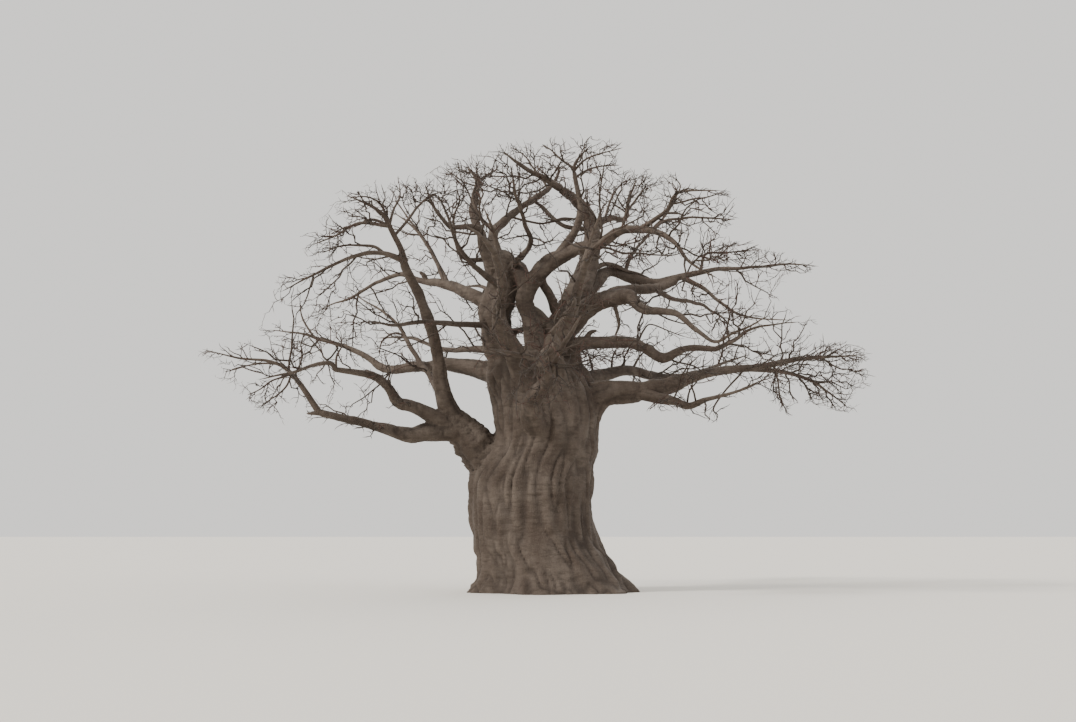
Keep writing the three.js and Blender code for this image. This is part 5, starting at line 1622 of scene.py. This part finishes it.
def blended(points):
    """The air to the blended limbs, the way out, and the nearest limb's number, radius and distance along."""
    air, way, radius = trunk_air(points)
    along = points[:, 2].copy()
    limb = np.zeros(len(points), int)
    next_air, next_way, next_radius = np.full(len(points), FAR_OFF), way.copy(), radius.copy()
    for number, stretches in enumerate(bough_stretches, 1):
        low_corner = stretches.start.min(0) - NEAR
        high_corner = (stretches.start + stretches.run).max(0) + NEAR
        near = np.flatnonzero(((points > low_corner) & (points < high_corner)).all(1))
        if not len(near):
            continue
        new_air, new_way, new_radius, new_along = bough_air(stretches, points[near])
        closest = new_air < air[near]
        second = ~closest & (new_air < next_air[near])
        mine, beside = near[closest], near[second]
        next_air[mine], next_way[mine], next_radius[mine] = air[mine], way[mine], radius[mine]
        air[mine], way[mine], radius[mine] = new_air[closest], new_way[closest], new_radius[closest]
        along[mine], limb[mine] = new_along[closest], number
        next_air[beside], next_way[beside] = new_air[second], new_way[second]
        next_radius[beside] = new_radius[second]
    width = BLEND * np.minimum(radius, next_radius)
    meet = np.clip(1 - (next_air - air) / width, 0, 1)
    out = unit(way * (1 - meet / 2)[:, None] + next_way * (meet / 2)[:, None])
    return air - width * meet**2 / 4, out, limb, radius, along


# %% Pull the melted surface onto it
PULLS = 3
SMOOTHINGS = 2
LONGEST_PULL = 0.3
EVENING = 0.7  # the share of the way to its neighbours' middle that a point goes

points = np.empty(len(melted.vertices) * 3, np.float32)
melted.vertices.foreach_get("co", points)
points = points.reshape(-1, 3).astype(float)
edges = np.empty(len(melted.edges) * 2, np.int32)
melted.edges.foreach_get("vertices", edges)
edges = edges.reshape(-1, 2)
degree = np.bincount(edges.ravel(), minlength=len(points))


def evened(points, out):
    """Points moved sideways, along the surface, towards the middle of their neighbours."""
    total = np.zeros_like(points)
    for axis in range(3):
        total[:, axis] = np.bincount(edges[:, 0], points[edges[:, 1], axis], len(points))
        total[:, axis] += np.bincount(edges[:, 1], points[edges[:, 0], axis], len(points))
    shift = total / degree[:, None] - points
    shift -= out * (shift * out).sum(1, keepdims=True)
    return points + shift * EVENING


def pull(air, out):
    """The step that takes each point to the surface."""
    return out * np.clip(air, -LONGEST_PULL, LONGEST_PULL)[:, None]


for _ in range(PULLS):
    air, out, *_ = blended(points)
    points -= pull(air, out)
    for _ in range(SMOOTHINGS):
        points = evened(points, out)
air, out, limb, radius, along = blended(points)
points -= pull(air, out)
print("skin points:", len(points), "left off the surface:", round(float(np.abs(air).mean()) * 1000, 1), "mm")

# %% [markdown]
# ## Folds, wrinkles and dents
# Old baobab bark is smooth like hide, but the wood under it swells unevenly: long soft folds run up the
# trunk, wrinkles cross the boughs where they bend, and dents and bosses mark where limbs broke off. They are
# big enough to change the outline, so they are real shape and not only a bump in the material.

# %% Relief
FOLD_WIDTH = 0.55  # metres across a long fold
FOLD_STRETCH = 0.22  # folds run so much longer along the limb
FOLD_DEPTH = 0.08
LUMP_WIDTH = 0.95
LUMP_DEPTH = 0.085
WRINKLE_WIDTH = 0.2
WRINKLE_DEPTH = 0.017
WRINKLE_STRETCH = 0.35  # wrinkles run longer round the limb
FULL_RADIUS = 1.1  # metres: on thinner limbs the relief is shallower
FOLD_SHIFT, WRINKLE_SHIFT = 7.3, 3.1  # so that no two limbs have the same pattern
SCARS = 90
SCAR_SEED = 23
SCARRED = 0.3  # the thinnest limb with scars, and how far over the ground they start
SCARS_FROM = 0.5
SCAR_WIDTHS = (0.07, 0.2)  # the least and the most in metres, on a limb that is stout enough
SCAR_LEAST, SCAR_GROWS = 0.3, 0.6  # on thinner limbs a scar is smaller
SCAR_DEPTHS = (-0.3, -0.2, 0.3)  # as shares of its width: two kinds of dents, and bosses
SCAR_RIM = 0.35  # the height of the rim round it, as a share of its depth
RIM_PLACE, RIM_SHARPNESS = 1.3, 6
GROWTH, WRINKLE_GROWTH = 0.85, 0.7  # powers by which relief grows with the limb
CREASE_SHARPNESS, CREASE_LEVEL = 0.7, 0.8


def crease(noise):
    """Rounded swellings with a sharp crease wherever the noise passes through nothing."""
    return 2 * np.abs(noise) ** CREASE_SHARPNESS - CREASE_LEVEL


size = np.minimum(radius, FULL_RADIUS) ** GROWTH
axis = np.zeros_like(points)
axis[:, 2] = 1
foot = np.column_stack((trunk_at(np.maximum(points[:, 2], 0))[0], np.zeros(len(points)), points[:, 2]))
across = points - foot
for number, stretches in enumerate(bough_stretches, 1):
    mine = np.flatnonzero(limb == number)
    if len(mine):
        _, best, share = stretches.nearest(points[mine], chunk=len(mine))
        across[mine] = points[mine] - stretches.start[best] - stretches.run[best] * share[:, None]
        axis[mine] = unit(stretches.run[best])

along_folds = across + axis * (along * FOLD_STRETCH)[:, None] + limb[:, None] * FOLD_SHIFT
cross_wrinkles = across * WRINKLE_STRETCH + axis * along[:, None] + limb[:, None] * WRINKLE_SHIFT
creases = 0.5 * FOLD_DEPTH * size * billow(along_folds, FOLD_WIDTH, 1)
creases += FOLD_DEPTH * size * crease(billow(along_folds, FOLD_WIDTH / 2, 2))
creases += WRINKLE_DEPTH * size**WRINKLE_GROWTH * crease(billow(cross_wrinkles, WRINKLE_WIDTH, 4))
relief = creases + LUMP_DEPTH * size * billow(points, LUMP_WIDTH, 3)

random = np.random.RandomState(SCAR_SEED)
stout = np.flatnonzero((radius > SCARRED) & (points[:, 2] > SCARS_FROM))
for spot in random.choice(stout, SCARS, replace=False):
    width = random.uniform(*SCAR_WIDTHS) * min(1, radius[spot] / SCAR_GROWS + SCAR_LEAST)
    depth = random.choice(SCAR_DEPTHS) * width
    far = np.linalg.norm(points - points[spot], axis=1) / width
    ring = np.exp(-RIM_SHARPNESS * (far - RIM_PLACE) ** 2)
    relief += depth * np.exp(-(far**2)) - SCAR_RIM * depth * ring
points += out * relief[:, None]
print("relief from", round(float(relief.min()), 3), "to", round(float(relief.max()), 3))

# %% [markdown]
# ## The flat cut at the ground
# The part stands on a flat face, so the skin is cut there with a plane, which leaves an edge that is exactly
# level, and the hole is filled with one face.

# %% Cut and keep the skin
melted.vertices.foreach_set("co", points.astype(np.float32).ravel())
# The creases' relief is kept on the points; the bark reads it to paint shade into its recesses.
hollow = melted.attributes.new("relief", "FLOAT", "POINT")
hollow.data.foreach_set("value", (creases / np.maximum(size, 0.1)).astype(np.float32))
cutter = bmesh.new()
cutter.from_mesh(melted)
everything = cutter.verts[:] + cutter.edges[:] + cutter.faces[:]
cut = bmesh.ops.bisect_plane(
    cutter, geom=everything, plane_co=(0, 0, 0), plane_no=(0, 0, 1), clear_inner=True
)
rim = [part for part in cut["geom_cut"] if isinstance(part, bmesh.types.BMEdge)]
bmesh.ops.edgeloop_fill(cutter, edges=rim)
cutter.to_mesh(melted)
cutter.free()
melted.materials.clear()
melted.shade_smooth()
bark_skin = bpy.data.objects.new("bark_skin", melted)
bpy.context.scene.collection.objects.link(bark_skin)
melted.calc_loop_triangles()
print("bark_skin triangles:", len(melted.loop_triangles))

# %% [markdown]
# ## Baobab bark
# The bark is a thick, living hide with a thin skin: dull, grey over brown. Seen close it is wrinkled like an
# elephant's skin. The light falls on it softly, because each wrinkle scatters it. Broad patches, streaks
# along the height and a fine mottle vary its colour. Painted shade, a dark reddish brown, darkens the
# recesses that the stored relief marks, and painted shade lies in soft dark rings along the ring creases. The
# rings and a fine net of wrinkles are also a bump, because they are too small for shape.

# %% Folded bark
MOTTLE = 0.03  # metres across a speck of lichen or cork
PATCH = 0.9
STREAK = 0.25
RING = 0.4  # metres along a crease that runs round a limb
WRINKLE_NET = 0.07  # metres between two wrinkles of the net
DRAWN_UP = (1, 1, 0.18)  # how a pattern is squeezed along each axis, which draws it out where it is below 1
DRAWN_ROUND = (1, 1, 3.5)
WOOD_IOR = 1.47

bark, tree = new_material("folded baobab bark")
place = add(tree, "ShaderNodeTexCoord").outputs["Object"]
upright, level = (
    add(tree, "ShaderNodeMapping", {"Scale": drawn}, {"Vector": place}).outputs[0]
    for drawn in (DRAWN_UP, DRAWN_ROUND)
)
patches = noise(tree, PATCH, 4.0, 0.6, place)
streaks = noise(tree, STREAK, 5.0, 0.65, upright)
mottle = noise(tree, MOTTLE, 3.0, 0.5, place)
# Ring creases: a bump round the limbs, and painted shade where that bump is low.
ring_creases = noise(tree, RING, 4.0, 0.55, level)
net = add(tree, "ShaderNodeTexVoronoi", {"feature": "DISTANCE_TO_EDGE", "Scale": 1 / WRINKLE_NET},
          {"Vector": upright})
# Painted shade: the stored relief, read to darken the bark's creases and recesses.
hollow_shade = add(tree, "ShaderNodeAttribute", {"attribute_name": "relief"})
colour = add(tree, "ShaderNodeMix", {"data_type": "RGBA", 6: linear("#433830"), 7: linear("#594f47")},
             {0: share_of(tree, patches, 0.38, 0.62)}).outputs[2]
LAYERS = (  # what each follows, the values between which it sets in, its most, and its colour
    (streaks, 0.45, 0.75, 0.55, "#362b23"),
    (mottle, 0.55, 0.75, 0.45, "#6d6256"),
    # painted shade, a dark reddish brown, in the recesses of the folds and wrinkles
    (hollow_shade.outputs["Fac"], 0.0, -0.08, 0.65, "#251c16"),
    # painted shade along the ring creases, darkest where their bump is lowest
    (ring_creases, 0.48, 0.36, 0.45, "#32281f"),
)
for value, low, high, most, tint in LAYERS:
    colour = laid_over(tree, colour, tint, share_of(tree, value, low, high, most))
wrinkled = bump(tree, share_of(tree, net.outputs["Distance"], 0.0, 0.16), 0.5, 0.012)
ringed = bump(tree, ring_creases, 0.8, 0.06, wrinkled)
speckled = bump(tree, mottle, 0.4, 0.008, ringed)
dull_wood(tree, {"IOR": WOOD_IOR, "Specular IOR Level": 0.4}, {"Base Color": colour, "Normal": speckled},
          mottle, 0.68, 0.9)

# %% [markdown]
# ## Twig bark
# Twigs are too thin to show a pattern, and the export would smear one over this many small tubes. So each
# twig has one plain colour: dark grey-brown on the thin boughs and the first twigs, and a redder brown on the
# year's young wood and its spurs, in three tones dealt out from spray to spray. Only the roughness and a
# faint bump carry a texture.

# %% Twig barks
TWIG_GRAIN = 0.012


def twig_bark(name, colour, roughness):
    """Thin bark of one plain colour with a faint grain."""
    material, tree = new_material(name)
    place = add(tree, "ShaderNodeTexCoord").outputs["Object"]
    grain = noise(tree, TWIG_GRAIN, 2.0, 0.5, place)
    settings = {"Base Color": linear(colour), "IOR": WOOD_IOR}
    feeds = {"Normal": bump(tree, grain, 0.3, 0.003)}
    dull_wood(tree, settings, feeds, grain, roughness - 0.1, roughness + 0.1)
    return material


TWIG_BARKS = [
    twig_bark("stem bark", "#453a32", 0.82),
    twig_bark("older twig bark", "#3b3129", 0.8),
    twig_bark("young twig bark, brown", "#382a23", 0.75),
    twig_bark("young twig bark, reddish", "#422b22", 0.75),
    twig_bark("young twig bark, greyish", "#39312b", 0.75),
]
STEM_BARK, OLDER_BARK, FIRST_YOUNG = 0, 1, 2
YOUNG_TONES = 3
SPRAY = 5  # so many twigs in a row have the same tone

# %% [markdown]
# ## Joining the pieces
# The skin stands for the trunk and all the boughs, together with the thin tubes that carry the boughs on to
# their tips and beyond, as the masses' stems. The twigs are joined by region, so that no piece grows too
# heavy, and each piece stands for the solids of its own masses.

# %% Thin ends of the boughs
SLENDER_SIDES = 12
OVERLAP_POINTS = 2  # a thin tube starts so many points inside the skin
OVERLAP_SHARE = 0.9  # and is this much slimmer there
INTO_STEM = 0.08  # metres that a bough's point runs on into the stem
ROUND_FOOT = ((0.8, 0.45), (0.5, 0.85))  # how far back and how wide its rings are, as shares of the radius
BARKED = 0.075  # a thin bough with a thicker foot than this has the boughs' bark


def slender_end(line):
    """The thin outer part of a bough, slimmer where it is inside the skin, its point inside the stem."""
    start = max(int(np.argmax(line.radius < SKIN_THINNEST)) - OVERLAP_POINTS, 1)
    point = line.at[-1] + INTO_STEM * unit(line.at[-1] - line.at[-2])
    radius = np.append(line.radius[start:], 0)
    radius[:OVERLAP_POINTS] *= OVERLAP_SHARE
    return Line(np.vstack((line.at[start:], point)), radius)


def stem_end(line):
    """A mass's stem with a rounded foot inside its bough's tip."""
    back = unit(line.at[0] - line.at[1]) * line.radius[0]
    at = np.vstack([line.at[0] + back * far for far, _ in ROUND_FOOT] + [line.at])
    return Line(at, np.append([line.radius[0] * wide for _, wide in ROUND_FOOT], line.radius))


going_on = {name: line for name, line in bough_shapes.items() if line.radius[-1] < SKIN_THINNEST}
barked = [name for name, line in thin_shapes.items() if line.radius[0] > BARKED]
slender_lines = [slender_end(line) for line in going_on.values()]
slender_lines += [thin_shapes[name] for name in barked]
slender_lines += [stem_end(line) for line in stem_shapes.values()]
slender_parts = [tube_part(line, SLENDER_SIDES) for line in slender_lines]
slender_boughs = make_piece("slender_boughs", slender_parts, [bark])
bark_skin.data.materials.append(bark)
for made in (bark_skin, slender_boughs):
    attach(made, "root")
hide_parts("trunk", *BOUGHS)
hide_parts(*going_on)

# %% Twigs by region
REGIONS = {
    "left_crown_sprays": ("tall_left_twigs", "left_shoulder_twigs", "left_arch_twigs", "left_rising_twigs"),
    "left_side_sprays": ("spur_twigs", "left_back_twigs", "left_high_twigs", "left_level_twigs"),
    "left_low_sprays": ("low_left_twigs", "second_left_twigs", "left_front_twigs"),
    "top_left_sprays": (
        "middle_twigs", "left_crown_twigs", "middle_crown_twigs", "left_front_crown_twigs",
        "front_crown_twigs",
    ),
    "top_right_sprays": (
        "cross_twigs", "cross_rising_twigs", "top_twigs", "right_leader_twigs", "right_upper_twigs",
    ),
    "right_side_sprays": ("arching_twigs", "arching_back_twigs", "arching_low_twigs", "right_middle_twigs"),
    "right_low_sprays": ("right_level_twigs", "low_right_twigs", "low_right_hanging_twigs", "hooked_twigs"),
    "back_sprays": ("back_right_twigs", "high_back_twigs", "back_left_twigs", "low_back_twigs"),
    "front_sprays": ("front_left_twigs", "front_right_twigs", "low_front_twigs"),
}
STEM_SIDES = 8
TWIG_SIDES = 3


def batch_parts(batch, masses, bark_number, tones=YOUNG_TONES):
    """The tubes of a batch's twigs that belong to some masses, in tones dealt out from twig to twig."""
    numbers = [stem_names.index(mass) for mass in masses]
    mine = np.isin(batch.mass, numbers)
    tone = np.arange(len(batch.mass)) // SPRAY % tones
    for number in range(tones):
        chosen = mine & (tone == number)
        if chosen.any():
            yield (*tubes(batch.at[chosen], batch.radius[chosen], TWIG_SIDES), bark_number + number)


for name, masses in REGIONS.items():
    thin = [bough for bough in thin_shapes if THIN_BOUGHS[bough][0] in masses and bough not in barked]
    parts = [tube_part(thin_shapes[bough], STEM_SIDES, STEM_BARK) for bough in thin]
    parts += batch_parts(firsts, masses, OLDER_BARK, tones=1)
    for batch in finer:
        parts += batch_parts(batch, masses, FIRST_YOUNG)
    sprays = make_piece(name, parts, TWIG_BARKS)
    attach(sprays, "root")
    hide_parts(*masses)
